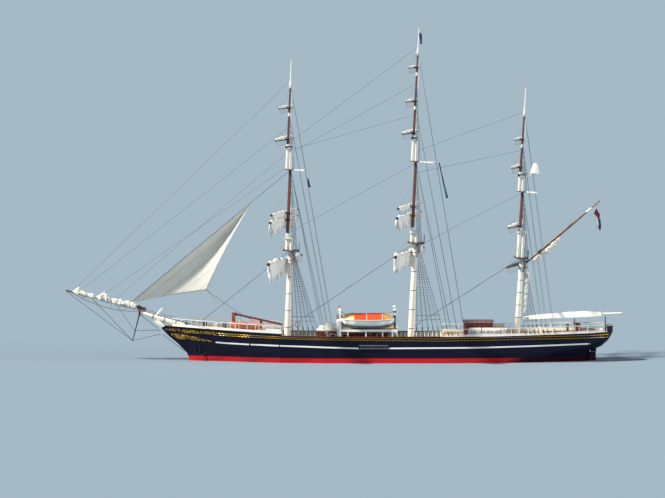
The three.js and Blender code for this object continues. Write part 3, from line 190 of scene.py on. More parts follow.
class Shape:
    """Vertices and faces gathered from simple forms, in metres of the full-size ship."""

    def __init__(self):
        self.vertices = []
        self.faces = []

    def grid(self, rows, around=False):
        """A skin over rows of points, all with the same count."""
        start = len(self.vertices)
        width = len(rows[0])
        for row in rows:
            self.vertices += [Vector(point) for point in row]
        for row in range(len(rows) - 1):
            for column in range(width if around else width - 1):
                beside = (column + 1) % width
                low = start + row * width
                self.faces.append((low + column, low + beside, low + width + beside, low + width + column))

    def loft(self, rings):
        start = len(self.vertices)
        self.grid(rings, around=True)
        width = len(rings[0])
        last = start + (len(rings) - 1) * width
        self.faces.append(tuple(reversed(range(start, start + width))))
        self.faces.append(tuple(range(last, last + width)))

    def box(self, low, high):
        (x0, y0, z0), (x1, y1, z1) = low, high
        self.loft([[(x0, y0, z), (x1, y0, z), (x1, y1, z), (x0, y1, z)] for z in (z0, z1)])

    def tube(self, path, radius, sides):
        """A round bar along a path, closed at its ends. radius may hold one size for each point."""
        points = [Vector(point) for point in path]
        radii = radius if isinstance(radius, list) else [radius] * len(points)
        rings = []
        side = None
        for index, point in enumerate(points):
            run = (points[min(index + 1, len(points) - 1)] - points[max(index - 1, 0)]).normalized()
            if side is None:
                side = square_to(run)
            side = (side - run * side.dot(run)).normalized()
            rings.append(circle(point, side, run.cross(side), radii[index], sides))
        self.loft(rings)

    def turned(self, profile, foot, direction=(0, 0, 1), sides=16):
        """A turned form: profile holds (distance along direction, radius)."""
        run = Vector(direction).normalized()
        helper = Vector((0, 1, 0)) if abs(run.y) < 0.9 else Vector((1, 0, 0))
        side = run.cross(helper).normalized()
        other = run.cross(side)
        self.loft([circle(Vector(foot) + run * distance, side, other, radius, sides)
                   for distance, radius in profile])

    def ring(self, centre, axis, radius, thickness, sides):
        """A torus."""
        normal = Vector(axis).normalized()
        side = square_to(normal)
        other = normal.cross(side)
        rows = []
        for turn in range(sides):
            angle = 2 * math.pi * turn / sides
            out = side * math.cos(angle) + other * math.sin(angle)
            rows.append([
                Vector(centre) + out * (radius + thickness * math.cos(step))
                + normal * thickness * math.sin(step)
                for step in (2 * math.pi * part / 8 for part in range(8))
            ])
        self.grid(rows + rows[:1], around=True)

    def move(self, matrix):
        self.vertices = [matrix @ vertex for vertex in self.vertices]
        return self

    def mirrored(self, laid_on_hull=False):
        """Adds the same again on the starboard side, laid on that side's own facets where asked."""
        start = len(self.vertices)
        for vertex in self.vertices[:]:
            out = starboard_fuller_by(vertex.x, vertex.z) if laid_on_hull else 0
            self.vertices.append(Vector((vertex.x, -vertex.y - out, vertex.z)))
        self.faces += [tuple(start + corner for corner in reversed(face)) for face in self.faces]
        return self

    def finish(self, name, material, body="hull", smooth_angle=40):
        mesh = bpy.data.meshes.new(name)
        mesh.from_pydata([vertex * MODEL for vertex in self.vertices], [], self.faces)
        mesh.validate()
        mesh.materials.append(material)
        made = bpy.data.objects.new(name, mesh)
        bpy.context.scene.collection.objects.link(made)
        shade(made, smooth_angle)
        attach(made, body)
        return made


def shade(made, smooth_angle):
    for polygon in made.data.polygons:
        polygon.use_smooth = True
    made.data.set_sharp_from_angle(angle=math.radians(smooth_angle))


def surface_of(*names):
    """The CAD surface of some nodes, to lay paint lines and fittings on."""
    vertices = []
    faces = []
    for name in names:
        mesh = frame["nodes"][name].data
        start = len(vertices)
        vertices += [vertex.co for vertex in mesh.vertices]
        faces += [[start + corner for corner in polygon.vertices] for polygon in mesh.polygons]
    return BVHTree.FromPolygons(vertices, faces)


TOPSIDES = surface_of("hull", "bulwark_port", "bulwark_starboard")


def side_y(x, z, side=1):
    """Half the beam at a place on the port (1) or starboard (-1) side, or None where there is no side."""
    hit = TOPSIDES.ray_cast(at(x, side * 12, z), Vector((0, -side, 0)))[0]
    return abs(hit.y) / MODEL if hit and hit.y * side > 0 else None


def starboard_fuller_by(x, z):
    """How far the starboard facets stand out beyond the port ones at a place."""
    port, starboard = side_y(x, z), side_y(x, z, -1)
    return starboard - port if port and starboard else 0


def on_mast(name, section, height, forward=0, side=0):
    """A place by its height and its distance ahead of a mast section's axis."""
    mast = MASTS[name]
    lean = math.radians(mast["rake"])
    ahead = SECTION_OFFSET[section] + forward
    return Vector((
        mast["x"] + ahead * math.cos(lean) - height * math.sin(lean),
        side,
        height * math.cos(lean) + ahead * math.sin(lean),
    ))


def mast_place(name, point):
    """How far ahead of the lower mast's axis, to the side and up the mast a model point lies."""
    mast = MASTS[name]
    lean = math.radians(mast["rake"])
    x, z = point.x / MODEL - mast["x"], point.z / MODEL
    return x * math.cos(lean) + z * math.sin(lean), point.y / MODEL, z * math.cos(lean) - x * math.sin(lean)


def paint_faces(made, paints, choose):
    """Adds paints to a piece; choose gives each face the number of its paint by the face's centre."""
    for material in paints:
        made.data.materials.append(material)
    for polygon in made.data.polygons:
        polygon.material_index = choose(polygon.center)


def smooth_copy(node, material, smooth_angle, bevel=0.0):
    """A piece with a CAD node's own shape, with rounded edges or smooth shading, in its place."""
    source = frame["nodes"][node]
    made = bpy.data.objects.new(f"{node}_finished", source.data.copy())
    bpy.context.scene.collection.objects.link(made)
    made.data.materials.clear()
    made.data.materials.append(material)
    for polygon in made.data.polygons:
        polygon.material_index = 0
    shade(made, smooth_angle)
    if bevel:
        edge = made.modifiers.new("edge", "BEVEL")
        edge.width = bevel * MODEL
        edge.segments = 2
        edge.limit_method = "ANGLE"
    body = next(name for name, nodes in frame["record"]["behaviour"]["bodies"].items() if node in nodes)
    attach(made, body)
    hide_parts(node)
    return made


# Materials

def paint(hex_colour):
    """An sRGB hex colour as linear red, green, blue and alpha."""
    channels = [int(hex_colour[index:index + 2], 16) / 255 for index in (1, 3, 5)]
    linear = [c / 12.92 if c <= 0.04045 else ((c + 0.055) / 1.055) ** 2.4 for c in channels]
    return (*linear, 1)


def set_inputs(tree, node, inputs):
    """Sets a node's inputs to values, or links them to sockets."""
    for name, value in inputs.items():
        if isinstance(value, bpy.types.NodeSocket):
            tree.links.new(value, node.inputs[name])
        else:
            node.inputs[name].default_value = value


def add_node(tree, kind, inputs, **settings):
    """Adds a node. Its settings come first, because they decide which inputs it has."""
    made = tree.nodes.new(kind)
    for name, value in settings.items():
        setattr(made, name, value)
    set_inputs(tree, made, inputs)
    return made


def start_material(name, roughness, **more):
    """A material, its node tree, its Principled surface and the socket that gives the place on the piece."""
    material = bpy.data.materials.new(name)
    material.use_nodes = True
    tree = material.node_tree
    surface = tree.nodes["Principled BSDF"]
    named = {socket.replace("_", " "): value for socket, value in more.items()}
    set_inputs(tree, surface, {"Roughness": roughness, **named})
    place = add_node(tree, "ShaderNodeTexCoord", {}).outputs["Object"]
    return material, tree, surface, place


def mottled(tree, place, low, high, scale):
    """A colour that drifts between two hex colours; scale is in cycles to a metre of the model."""
    cloud = add_node(tree, "ShaderNodeTexNoise", {"Vector": place, "Scale": scale, "Detail": 4.0})
    mix = add_node(tree, "ShaderNodeMix", {
        "Factor": cloud.outputs["Fac"], "A": paint(low), "B": paint(high),
    }, data_type="RGBA")
    return mix.outputs["Result"]


def hull_enamel():
    """Gloss enamel on riveted steel plate: deep navy-black, with red antifouling below the boot-top."""
    material, tree, surface, place = start_material("hull_enamel", 0.4, IOR=1.5, Specular_IOR_Level=0.2)
    split = add_node(tree, "ShaderNodeSeparateXYZ", {"Vector": place})
    above = add_node(tree, "ShaderNodeMapRange", {
        "Value": split.outputs["Z"],
        "From Min": BOOT_TOP_Z * MODEL - 0.006, "From Max": BOOT_TOP_Z * MODEL + 0.006,
    })
    # Painted shade: the red is darkened to maroon under the counter, more and more from 15.5 to 18 m abaft
    # midships
    clean = add_node(tree, "ShaderNodeMapRange", {
        "Value": split.outputs["X"], "From Min": -18 * MODEL, "From Max": -15.5 * MODEL,
    })
    boot_top = add_node(tree, "ShaderNodeMix", {
        "Factor": clean.outputs["Result"], "A": paint("#3a0d18"),
        "B": mottled(tree, place, "#cc1c26", "#ea2b34", 1.2),
    }, data_type="RGBA")
    both = add_node(tree, "ShaderNodeMix", {
        "Factor": above.outputs["Result"], "A": boot_top.outputs["Result"],
        "B": mottled(tree, place, "#0a0a1c", "#14132c", 0.7),
    }, data_type="RGBA")
    # Plates of about 1.4 m by 6 m on the real hull, so 0.7 m by 3 m here
    flat = add_node(tree, "ShaderNodeCombineXYZ", {"X": split.outputs["X"], "Y": split.outputs["Z"]})
    plates = add_node(tree, "ShaderNodeTexBrick", {
        "Vector": flat.outputs["Vector"],
        "Scale": 1.0, "Mortar Size": 0.006, "Brick Width": 3.0, "Row Height": 0.7,
    })
    bump = add_node(tree, "ShaderNodeBump", {
        "Height": plates.outputs["Fac"], "Strength": 0.25, "Distance": 0.004,
    })
    set_inputs(tree, surface, {"Base Color": both.outputs["Result"], "Normal": bump.outputs["Normal"]})
    return material


def gloss_white():
    """White alkyd enamel over primed steel: clean, with a faint grey weathering."""
    material, tree, surface, place = start_material("gloss_white_enamel", 0.35, IOR=1.5)
    colour = mottled(tree, place, "#e9e7df", "#fbfaf6", 3.0)
    grain = add_node(tree, "ShaderNodeTexNoise", {"Vector": place, "Scale": 60.0, "Detail": 2.0})
    bump = add_node(tree, "ShaderNodeBump", {
        "Height": grain.outputs["Fac"], "Strength": 0.06, "Distance": 0.002,
    })
    set_inputs(tree, surface, {"Base Color": colour, "Normal": bump.outputs["Normal"]})
    return material


def mast_cream():
    """Buff-white enamel on rolled steel tube, with greyer streaks along it where ropes chafe."""
    material, tree, surface, place = start_material("mast_cream_enamel", 0.38, IOR=1.5)
    streaked = add_node(tree, "ShaderNodeMapping", {"Vector": place, "Scale": (2, 2, 0.4)})
    colour = mottled(tree, streaked.outputs["Vector"], "#ece4d2", "#fcf9f0", 2.2)
    grain = add_node(tree, "ShaderNodeTexNoise", {"Vector": place, "Scale": 45.0, "Detail": 2.0})
    bump = add_node(tree, "ShaderNodeBump", {
        "Height": grain.outputs["Fac"], "Strength": 0.08, "Distance": 0.002,
    })
    set_inputs(tree, surface, {"Base Color": colour, "Normal": bump.outputs["Normal"]})
    return material


def banded_spar(name, white_bands):
    """Red-brown spar enamel with white doublings; white_bands holds heights of the full-size ship."""
    material, tree, surface, place = start_material(f"{name}_spar_enamel", 0.38, IOR=1.5)
    streaked = add_node(tree, "ShaderNodeMapping", {"Vector": place, "Scale": (2, 2, 0.5)})
    brown = mottled(tree, streaked.outputs["Vector"], "#57332a", "#7d5044", 2.5)
    white = mottled(tree, place, "#ded8c8", "#f8f5ec", 2.5)
    height = add_node(tree, "ShaderNodeSeparateXYZ", {"Vector": place}).outputs["Z"]
    # Each band's edges are blended over 20 mm of the model
    blend = 0.01
    insides = []
    for low, high in white_bands:
        over = add_node(tree, "ShaderNodeMapRange", {
            "Value": height, "From Min": low * MODEL - blend, "From Max": low * MODEL + blend,
        })
        under = add_node(tree, "ShaderNodeMapRange", {
            "Value": height, "From Min": high * MODEL + blend, "From Max": high * MODEL - blend,
        })
        inside = add_node(tree, "ShaderNodeMath", {
            0: over.outputs["Result"], 1: under.outputs["Result"],
        }, operation="MULTIPLY")
        insides.append(inside.outputs["Value"])
    share = insides[0]
    for inside in insides[1:]:
        share = add_node(tree, "ShaderNodeMath", {0: share, 1: inside}, operation="MAXIMUM").outputs["Value"]
    mix = add_node(tree, "ShaderNodeMix", {"Factor": share, "A": brown, "B": white}, data_type="RGBA")
    set_inputs(tree, surface, {"Base Color": mix.outputs["Result"]})
    return material


def spar_brown(name, dark, light):
    """Brown spar enamel, brushed on: slightly uneven, and lighter in patches where it is worn."""
    material, tree, surface, place = start_material(name, 0.4, IOR=1.5)
    colour = mottled(tree, place, dark, light, 2.0)
    strokes = add_node(tree, "ShaderNodeTexNoise", {"Vector": place, "Scale": 30.0, "Detail": 2.0})
    bump = add_node(tree, "ShaderNodeBump", {
        "Height": strokes.outputs["Fac"], "Strength": 0.1, "Distance": 0.002,
    })
    set_inputs(tree, surface, {"Base Color": colour, "Normal": bump.outputs["Normal"]})
    return material


def mahogany():
    """Varnished mahogany joinery: red-brown long grain under a clear glossy coat."""
    material, tree, surface, place = start_material("varnished_mahogany", 0.35, IOR=1.5,
                                                    Coat_Weight=0.6, Coat_Roughness=0.12)
    drawn_out = add_node(tree, "ShaderNodeMapping", {"Vector": place, "Scale": (0.6, 3.0, 8.0)})
    # Real growth lines are about 8 mm apart; drawn at 60 mm, so that they show
    grain = add_node(tree, "ShaderNodeTexWave", {
        "Vector": drawn_out.outputs["Vector"],
        "Scale": 1.6, "Distortion": 5.0, "Detail": 3.0, "Detail Scale": 1.4,
    })
    mix = add_node(tree, "ShaderNodeMix", {
        "Factor": grain.outputs["Fac"], "A": paint("#5a1d14"), "B": paint("#96402a"),
    }, data_type="RGBA")
    bump = add_node(tree, "ShaderNodeBump", {
        "Height": grain.outputs["Fac"], "Strength": 0.12, "Distance": 0.003,
    })
    set_inputs(tree, surface, {"Base Color": mix.outputs["Result"], "Normal": bump.outputs["Normal"]})
    return material


def teak_deck():
    """Scrubbed teak planking with black caulked seams. Real planks are 120 mm wide, so 60 mm here."""
    material, tree, surface, place = start_material("scrubbed_teak_planking", 0.75, IOR=1.5)
    planks = add_node(tree, "ShaderNodeTexBrick", {
        "Vector": place, "Scale": 1.0, "Mortar Size": 0.004, "Brick Width": 3.2, "Row Height": 0.06,
        "Bias": -0.2, "Color1": paint("#b79b73"), "Color2": paint("#cdb48c"), "Mortar": paint("#2c241c"),
    })
    drawn_out = add_node(tree, "ShaderNodeMapping", {"Vector": place, "Scale": (1, 22, 1)})
    grain = add_node(tree, "ShaderNodeTexNoise", {
        "Vector": drawn_out.outputs["Vector"], "Scale": 5.0, "Detail": 4.0,
    })
    bump = add_node(tree, "ShaderNodeBump", {
        "Height": grain.outputs["Fac"], "Strength": 0.2, "Distance": 0.003,
    })
    set_inputs(tree, surface, {"Base Color": planks.outputs["Color"], "Normal": bump.outputs["Normal"]})
    return material


def sailcloth():
    """Cream polyester sailcloth, gathered: dull, with a faint sheen and deep creases."""
    material, tree, surface, place = start_material("heavy_sailcloth", 0.85,
                                                    Sheen_Weight=0.15, Sheen_Roughness=0.6)
    colour = mottled(tree, place, "#cfcabc", "#fdfbf4", 1.6)
    folds = add_node(tree, "ShaderNodeTexNoise", {
        "Vector": place, "Scale": 7.0, "Detail": 5.0, "Distortion": 0.6,
    })
    bump = add_node(tree, "ShaderNodeBump", {
        "Height": folds.outputs["Fac"], "Strength": 0.9, "Distance": 0.11,
    })
    set_inputs(tree, surface, {"Base Color": colour, "Normal": bump.outputs["Normal"]})
    return material


def set_sailcloth():
    """The set jib's cloth: panels 1.2 m wide on the real sail, 0.6 m here, sewn across the leech."""
    material, tree, surface, place = start_material("panelled_sailcloth", 0.9)
    turned = add_node(tree, "ShaderNodeMapping", {"Vector": place, "Rotation": (0, math.radians(-38), 0)})
    seams = add_node(tree, "ShaderNodeTexWave", {
        "Vector": turned.outputs["Vector"], "Scale": 0.52, "Distortion": 0.0,
    }, bands_direction="Z")
    line = add_node(tree, "ShaderNodeMapRange", {
        "Value": seams.outputs["Fac"], "From Min": 0.97, "From Max": 1.0,
    })
    mix = add_node(tree, "ShaderNodeMix", {
        "Factor": line.outputs["Result"], "A": mottled(tree, place, "#dcd8cb", "#f2efe5", 1.2),
        "B": paint("#cdc8ba"),
    }, data_type="RGBA")
    bump = add_node(tree, "ShaderNodeBump", {
        "Height": line.outputs["Result"], "Strength": 0.3, "Distance": 0.01,
    })
    set_inputs(tree, surface, {"Base Color": mix.outputs["Result"], "Normal": bump.outputs["Normal"]})
    return material


def gold_leaf():
    """Gold leaf on carved wood: a warm metal, a little worn into the hollows."""
    material, tree, surface, place = start_material("gold_leaf", 0.38, Metallic=1.0)
    colour = mottled(tree, place, "#8a6322", "#e0b254", 14.0)
    carved = add_node(tree, "ShaderNodeTexNoise", {"Vector": place, "Scale": 30.0, "Detail": 3.0})
    bump = add_node(tree, "ShaderNodeBump", {
        "Height": carved.outputs["Fac"], "Strength": 0.5, "Distance": 0.01,
    })
    set_inputs(tree, surface, {"Base Color": colour, "Normal": bump.outputs["Normal"]})
    return material


def laid_gold():
    """The gilded rope mouldings: strands that turn about once in 0.45 m of the real ship."""
    material, tree, surface, place = start_material("gilded_rope_moulding", 0.36, Metallic=1.0)
    aslant = add_node(tree, "ShaderNodeMapping", {"Vector": place, "Rotation": (0, math.radians(50), 0)})
    strands = add_node(tree, "ShaderNodeTexWave", {
        "Vector": aslant.outputs["Vector"], "Scale": 2.2, "Distortion": 0.5,
    })
    mix = add_node(tree, "ShaderNodeMix", {
        "Factor": strands.outputs["Fac"], "A": paint("#a67c30"), "B": paint("#ecc264"),
    }, data_type="RGBA")
    bump = add_node(tree, "ShaderNodeBump", {
        "Height": strands.outputs["Fac"], "Strength": 0.4, "Distance": 0.008,
    })
    set_inputs(tree, surface, {"Base Color": mix.outputs["Result"], "Normal": bump.outputs["Normal"]})
    return material


def gilded_carving():
    """Deep relief carved in oak: gold leaf on what stands proud, black ground in the hollows."""
    material, tree, surface, place = start_material("gilded_carving", 0.45, Metallic=0.6)
    # Leaves and scrolls about 250 mm across on the real bow, so 125 mm here
    leaves = add_node(tree, "ShaderNodeTexNoise", {
        "Vector": place, "Scale": 5.0, "Detail": 2.0, "Distortion": 1.2,
    })
    proud = add_node(tree, "ShaderNodeMapRange", {
        "Value": leaves.outputs["Fac"], "From Min": 0.46, "From Max": 0.53,
    })
    mix = add_node(tree, "ShaderNodeMix", {
        "Factor": proud.outputs["Result"], "A": paint("#1c1715"), "B": paint("#cf9c42"),
    }, data_type="RGBA")
    bump = add_node(tree, "ShaderNodeBump", {
        "Height": proud.outputs["Result"], "Strength": 0.8, "Distance": 0.02,
    })
    set_inputs(tree, surface, {"Base Color": mix.outputs["Result"], "Normal": bump.outputs["Normal"]})
    return material


def moulded_shell(name, light, dark, roughness):
    """Gel-coated glass fibre: smooth and shiny, with a slight ripple from its mould."""
    material, tree, surface, place = start_material(name, roughness, IOR=1.5, Coat_Weight=0.3)
    colour = mottled(tree, place, dark, light, 2.4)
    wavy = add_node(tree, "ShaderNodeTexNoise", {"Vector": place, "Scale": 6.0, "Detail": 1.0})
    bump = add_node(tree, "ShaderNodeBump", {
        "Height": wavy.outputs["Fac"], "Strength": 0.08, "Distance": 0.01,
    })
    set_inputs(tree, surface, {"Base Color": colour, "Normal": bump.outputs["Normal"]})
    return material


def coated_canvas():
    """PVC-coated canvas, stretched over bows: bright, soft gloss, with a fine weave."""
    material, tree, surface, place = start_material("orange_coated_canvas", 0.55, IOR=1.5)
    colour = mottled(tree, place, "#e63c0c", "#ff5a22", 2.0)
    # Real threads are under 1 mm; drawn 20 mm apart, so that they show
    weave = add_node(tree, "ShaderNodeTexWave", {"Vector": place, "Scale": 16.0, "Distortion": 0.4})
    bump = add_node(tree, "ShaderNodeBump", {
        "Height": weave.outputs["Fac"], "Strength": 0.12, "Distance": 0.002,
    })
    set_inputs(tree, surface, {"Base Color": colour, "Normal": bump.outputs["Normal"]})
    return material


def galvanised_wire():
    """Weathered galvanised standing wire: blue-grey and dull, with a rope-like lay."""
    material, tree, surface, place = start_material("weathered_galvanised_wire", 0.6, IOR=1.5)
    colour = mottled(tree, place, "#33404c", "#5d6c79", 4.0)
    lay = add_node(tree, "ShaderNodeTexWave", {"Vector": place, "Scale": 9.0, "Distortion": 1.0})
    bump = add_node(tree, "ShaderNodeBump", {
        "Height": lay.outputs["Fac"], "Strength": 0.3, "Distance": 0.004,
    })
    set_inputs(tree, surface, {"Base Color": colour, "Normal": bump.outputs["Normal"]})
    return material


def running_rope():
    """Three-strand polyester made to look like hemp: pale brown and matt."""
    material, tree, surface, place = start_material("three_strand_rope", 0.85)
    colour = mottled(tree, place, "#6f6552", "#9d9178", 5.0)
    lay = add_node(tree, "ShaderNodeTexWave", {"Vector": place, "Scale": 12.0, "Distortion": 1.0})
    bump = add_node(tree, "ShaderNodeBump", {
        "Height": lay.outputs["Fac"], "Strength": 0.4, "Distance": 0.004,
    })
    set_inputs(tree, surface, {"Base Color": colour, "Normal": bump.outputs["Normal"]})
    return material


def black_iron():
    """Forged iron under black bitumen paint: anchors, chains, caps and cheeks."""
    material, tree, surface, place = start_material("bitumen_black_iron", 0.5, IOR=1.5)
    colour = mottled(tree, place, "#0e0e10", "#27262a", 8.0)
    pits = add_node(tree, "ShaderNodeTexNoise", {"Vector": place, "Scale": 35.0, "Detail": 3.0})
    bump = add_node(tree, "ShaderNodeBump", {
        "Height": pits.outputs["Fac"], "Strength": 0.3, "Distance": 0.004,
    })
    set_inputs(tree, surface, {"Base Color": colour, "Normal": bump.outputs["Normal"]})
    return material


def cast_bronze():
    """Cast and polished nickel-aluminium bronze."""
    material, tree, surface, place = start_material("polished_cast_bronze", 0.28, Metallic=1.0)
    set_inputs(tree, surface, {"Base Color": mottled(tree, place, "#8a5f27", "#c59a4e", 6.0)})
    return material


def dark_glass():
    """Toughened window glass before an unlit cabin."""
    material, tree, surface, place = start_material("dark_window_glass", 0.06, IOR=1.52, Coat_Weight=0.4)
    set_inputs(tree, surface, {"Base Color": mottled(tree, place, "#0d1418", "#1d2a30", 1.5)})
    return material


def bunting(name, dark, light):
    """Woven polyester bunting: thin, dull and a little faded in patches."""
    material, tree, surface, place = start_material(name, 0.8, Sheen_Weight=0.2)
    colour = mottled(tree, place, dark, light, 3.0)
    weave = add_node(tree, "ShaderNodeTexWave", {"Vector": place, "Scale": 20.0, "Distortion": 0.5})
    bump = add_node(tree, "ShaderNodeBump", {
        "Height": weave.outputs["Fac"], "Strength": 0.2, "Distance": 0.004,
    })
    set_inputs(tree, surface, {"Base Color": colour, "Normal": bump.outputs["Normal"]})
    return material


HULL_ENAMEL = hull_enamel()
WHITE = gloss_white()
CREAM = mast_cream()
BROWN = spar_brown("spar_brown_enamel", "#57332a", "#7d5044")
MAHOGANY = mahogany()
TEAK = teak_deck()
SAILCLOTH = sailcloth()
JIB_CLOTH = set_sailcloth()
GOLD = gold_leaf()
GOLD_ROPE = laid_gold()
CARVING = gilded_carving()
YARD_BROWN = spar_brown("yard_brown_enamel", "#2e1f1b", "#4d362e")
WIRE = galvanised_wire()
ROPE = running_rope()
IRON = black_iron()
BRONZE = cast_bronze()
GLASS = dark_glass()
WHITE_SHELL = moulded_shell("white_gelcoat", "#f7f6f1", "#e3e1d8", 0.3)
# Grey gelcoat: the side ladders' own colour, and painted shade on the lifeboats' lower shells
GREY_SHELL_AND_SHADE = moulded_shell("grey_gelcoat_and_painted_shade", "#8d9294", "#6f7577", 0.45)
INSIDE_GREY = moulded_shell("pale_grey_enamel", "#9fb2c0", "#8699a8", 0.5)
SALMON_SHELL = moulded_shell("faded_salmon_gelcoat", "#e88e74", "#cc6a52", 0.45)
ORANGE_CANVAS = coated_canvas()
YELLOW_SHELL = moulded_shell("yellow_orange_gelcoat", "#f0b052", "#d8923a", 0.3)


# Hull

def finish_hull():
    """The hull keeps the CAD shape; its decks are planked and its bulkheads painted white."""
    paints = [HULL_ENAMEL, TEAK, WHITE, INSIDE_GREY]
    for node in ("hull", "bulwark_port", "bulwark_starboard"):
        made = smooth_copy(node, HULL_ENAMEL, 28)
        for material in paints[1:]:
            made.data.materials.append(material)
        for polygon in made.data.polygons:
            level = polygon.normal.z > 0.95 and polygon.center.z > 1.0
            bulkhead = abs(polygon.normal.x) > 0.95 and 2.3 < polygon.center.z / MODEL < 4.3
            inward = node != "hull" and polygon.normal.y * polygon.center.y < -0.1
            if level and node == "hull":
                polygon.material_index = paints.index(TEAK)
            elif inward:
                polygon.material_index = paints.index(INSIDE_GREY)
            elif bulkhead or level:
                polygon.material_index = paints.index(WHITE)
    smooth_copy("rudder", HULL_ENAMEL, 30)


def places_along(table, fewest):
    start, end = table[0][0], table[-1][0]
    return steps(start, end, max(int(abs(start - end) / TOPSIDE_SPACING), fewest))


def topside_points(line):
    """Points on the port side along a line of (x, z)."""
    points = []
    for x in places_along(line, 2):
        z = table_value(line, x)
        y = side_y(x, z)
        if y is not None:
            points.append(Vector((x, y, z)))
    return points


def band_on_side(shape, band, proud):
    """A flat painted or carved band between two heights; band holds (x, low z, high z)."""
    rings = []
    for x in places_along(band, 4):
        low, high = (table_value(band, x, column) for column in (1, 2))
        low_y, high_y = side_y(x, low), side_y(x, high)
        if low_y is None or high_y is None:
            continue
        rings.append([(x, low_y - 0.02, low), (x, low_y + proud, low),
                      (x, high_y + proud, high), (x, high_y - 0.02, high)])
    shape.loft(rings)


def scroll(shape, x, z, size, turn_way):
    """One carved leaf scroll that lies on the bow."""
    path = []
    for step in range(22):
        angle = turn_way * step * 0.42
        radius = size * (1 - step / 26)
        px, pz = x + radius * math.cos(angle), z + radius * 0.8 * math.sin(angle)
        y = side_y(px, pz)
        if y is not None:
            path.append((px, y + 0.015, pz))
    if len(path) > 3:
        shape.tube(path, 0.03, 5)


def build_paint_lines():
    half = WHITE_STRIPE_WIDTH / 2
    stripe = Shape()
    for part in WHITE_STRIPES:
        band_on_side(stripe, [(x, z - half, z + half) for x, z in part], 0.012)
    stripe.mirrored(laid_on_hull=True).finish("white_stripe", WHITE)

    ropes = Shape()
    for line in (UPPER_ROPE, LOWER_ROPE):
        ropes.tube(topside_points(line), ROPE_RADIUS, 8)
    ropes.mirrored(laid_on_hull=True).finish("gilded_ropes", GOLD_ROPE)

    ground = Shape()
    carving = Shape()
    for band in (UPPER_CARVING, LOWER_CARVING):
        band_on_side(ground, band, 0.02)
        for index, x in enumerate(steps(band[0][0] - 0.3, band[-1][0] + 0.3, 15)):
            low, high = (table_value(band, x, column) for column in (1, 2))
            scroll(carving, x, (low + high) / 2, (high - low) * 0.48, 1 if index % 2 else -1)
    ground.mirrored(laid_on_hull=True).finish("bow_carving_ground", CARVING)
    carving.mirrored(laid_on_hull=True).finish("bow_carving", GOLD)


def build_bulwark_tops():
    """Varnished cap rails on the bulwarks, with stanchions inside them."""
    caps = Shape()
    stanchions = Shape()
    xs = steps(BULWARK_TOP[0][0] - 0.05, BULWARK_TOP[-1][0] + 0.05, 40)
    rings = []
    for x in xs:
        z = table_value(BULWARK_TOP, x)
        y = side_y(x, z - 0.03)
        rings.append([(x, y - 0.24, z), (x, y + 0.05, z), (x, y + 0.05, z + 0.07), (x, y - 0.24, z + 0.07)])
        foot = table_value(MAIN_DECK, x) + 0.01
        stanchions.tube([(x, y - 0.18, z), (x, y - 0.5, foot)], 0.03, 5)
    caps.loft(rings)
    caps.mirrored().finish("bulwark_cap_rails", MAHOGANY)
    stanchions.mirrored().finish("bulwark_stays", WHITE)


def build_anchor():
    """An anchor hangs at each bow, below its cathead, on a few links of chain."""
    iron = Shape()
    x, z = 25.85, 1.5
    y = side_y(x, z) + 0.14
    iron.tube([(x, y + 0.1, z + 1.35), (x, y, z - 0.7)], 0.07, 8)
    arm = [(x + reach, y, z - 0.75 + abs(reach) ** 1.7 * 0.75) for reach in steps(-0.75, 0.75, 12)]
    iron.tube(arm, [0.03 + 0.07 * (1 - abs(index - 6) / 6) for index in range(13)], 8)
    for reach in (-0.72, 0.72):
        iron.loft([[(x + reach - 0.12, y - 0.05, z - 0.42), (x + reach + 0.12, y - 0.05, z - 0.42),
                    (x + reach + 0.12, y + 0.07, z - 0.42), (x + reach - 0.12, y + 0.07, z - 0.42)],
                   [(x + reach - 0.03, y - 0.02, z - 0.05), (x + reach + 0.03, y - 0.02, z - 0.05),
                    (x + reach + 0.03, y + 0.04, z - 0.05), (x + reach - 0.03, y + 0.04, z - 0.05)]])
    iron.ring((x, y + 0.1, z + 1.48), (1, 0, 0), 0.13, 0.03, 16)
    for link in range(5):
        height = z + 1.66 + link * 0.17
        outward = side_y(x, height) or side_y(x, height - 0.2)
        iron.ring((x, outward + 0.08, height), (1, 0, 0) if link % 2 else (0, 1, 0), 0.085, 0.028, 12)
    cathead_y = side_y(24.0, 4.2)
    iron.box((23.85, cathead_y - 0.5, 4.15), (24.15, cathead_y + 0.35, 4.42))
    iron.mirrored().finish("anchors_and_catheads", IRON)


def build_side_ladder():
    """An accommodation ladder lies stowed along each side, on two brackets."""
    ladder = Shape()
    low, high = 2.0, 2.45
    side = side_y(2.2, 2.2)
    for z in (low, high):
        ladder.tube([(0.3, side + 0.16, z), (4.2, side + 0.16, z)], 0.035, 6)
    for x in steps(0.45, 4.05, 12):
        ladder.box((x - 0.02, side + 0.06, low), (x + 0.02, side + 0.2, high))
    for x in (0.9, 3.6):
        ladder.box((x - 0.05, side - 0.03, low - 0.05), (x + 0.05, side + 0.2, low + 0.02))
    ladder.box((3.7, side - 0.02, high - 0.02), (4.25, side + 0.22, high + 0.03))
    ladder.mirrored(laid_on_hull=True).finish("stowed_side_ladders", GREY_SHELL_AND_SHADE)


# Rails and deck gear

# Rails: the deck each stands on, and the x of its two ends
RAIL_XS = {
    "forecastle_rail": (FORECASTLE_DECK, 29.6, 14.85),
    "poop_rail": (POOP_DECK, -7.15, -29.1),
}
RAIL_INSET = 0.16


def rail_foot(deck, x):
    """Where a stanchion stands, or None where the hull has no side."""
    z = table_value(deck, x)
    y = side_y(x, z - 0.05)
    return None if y is None else Vector((x, y - RAIL_INSET, z))


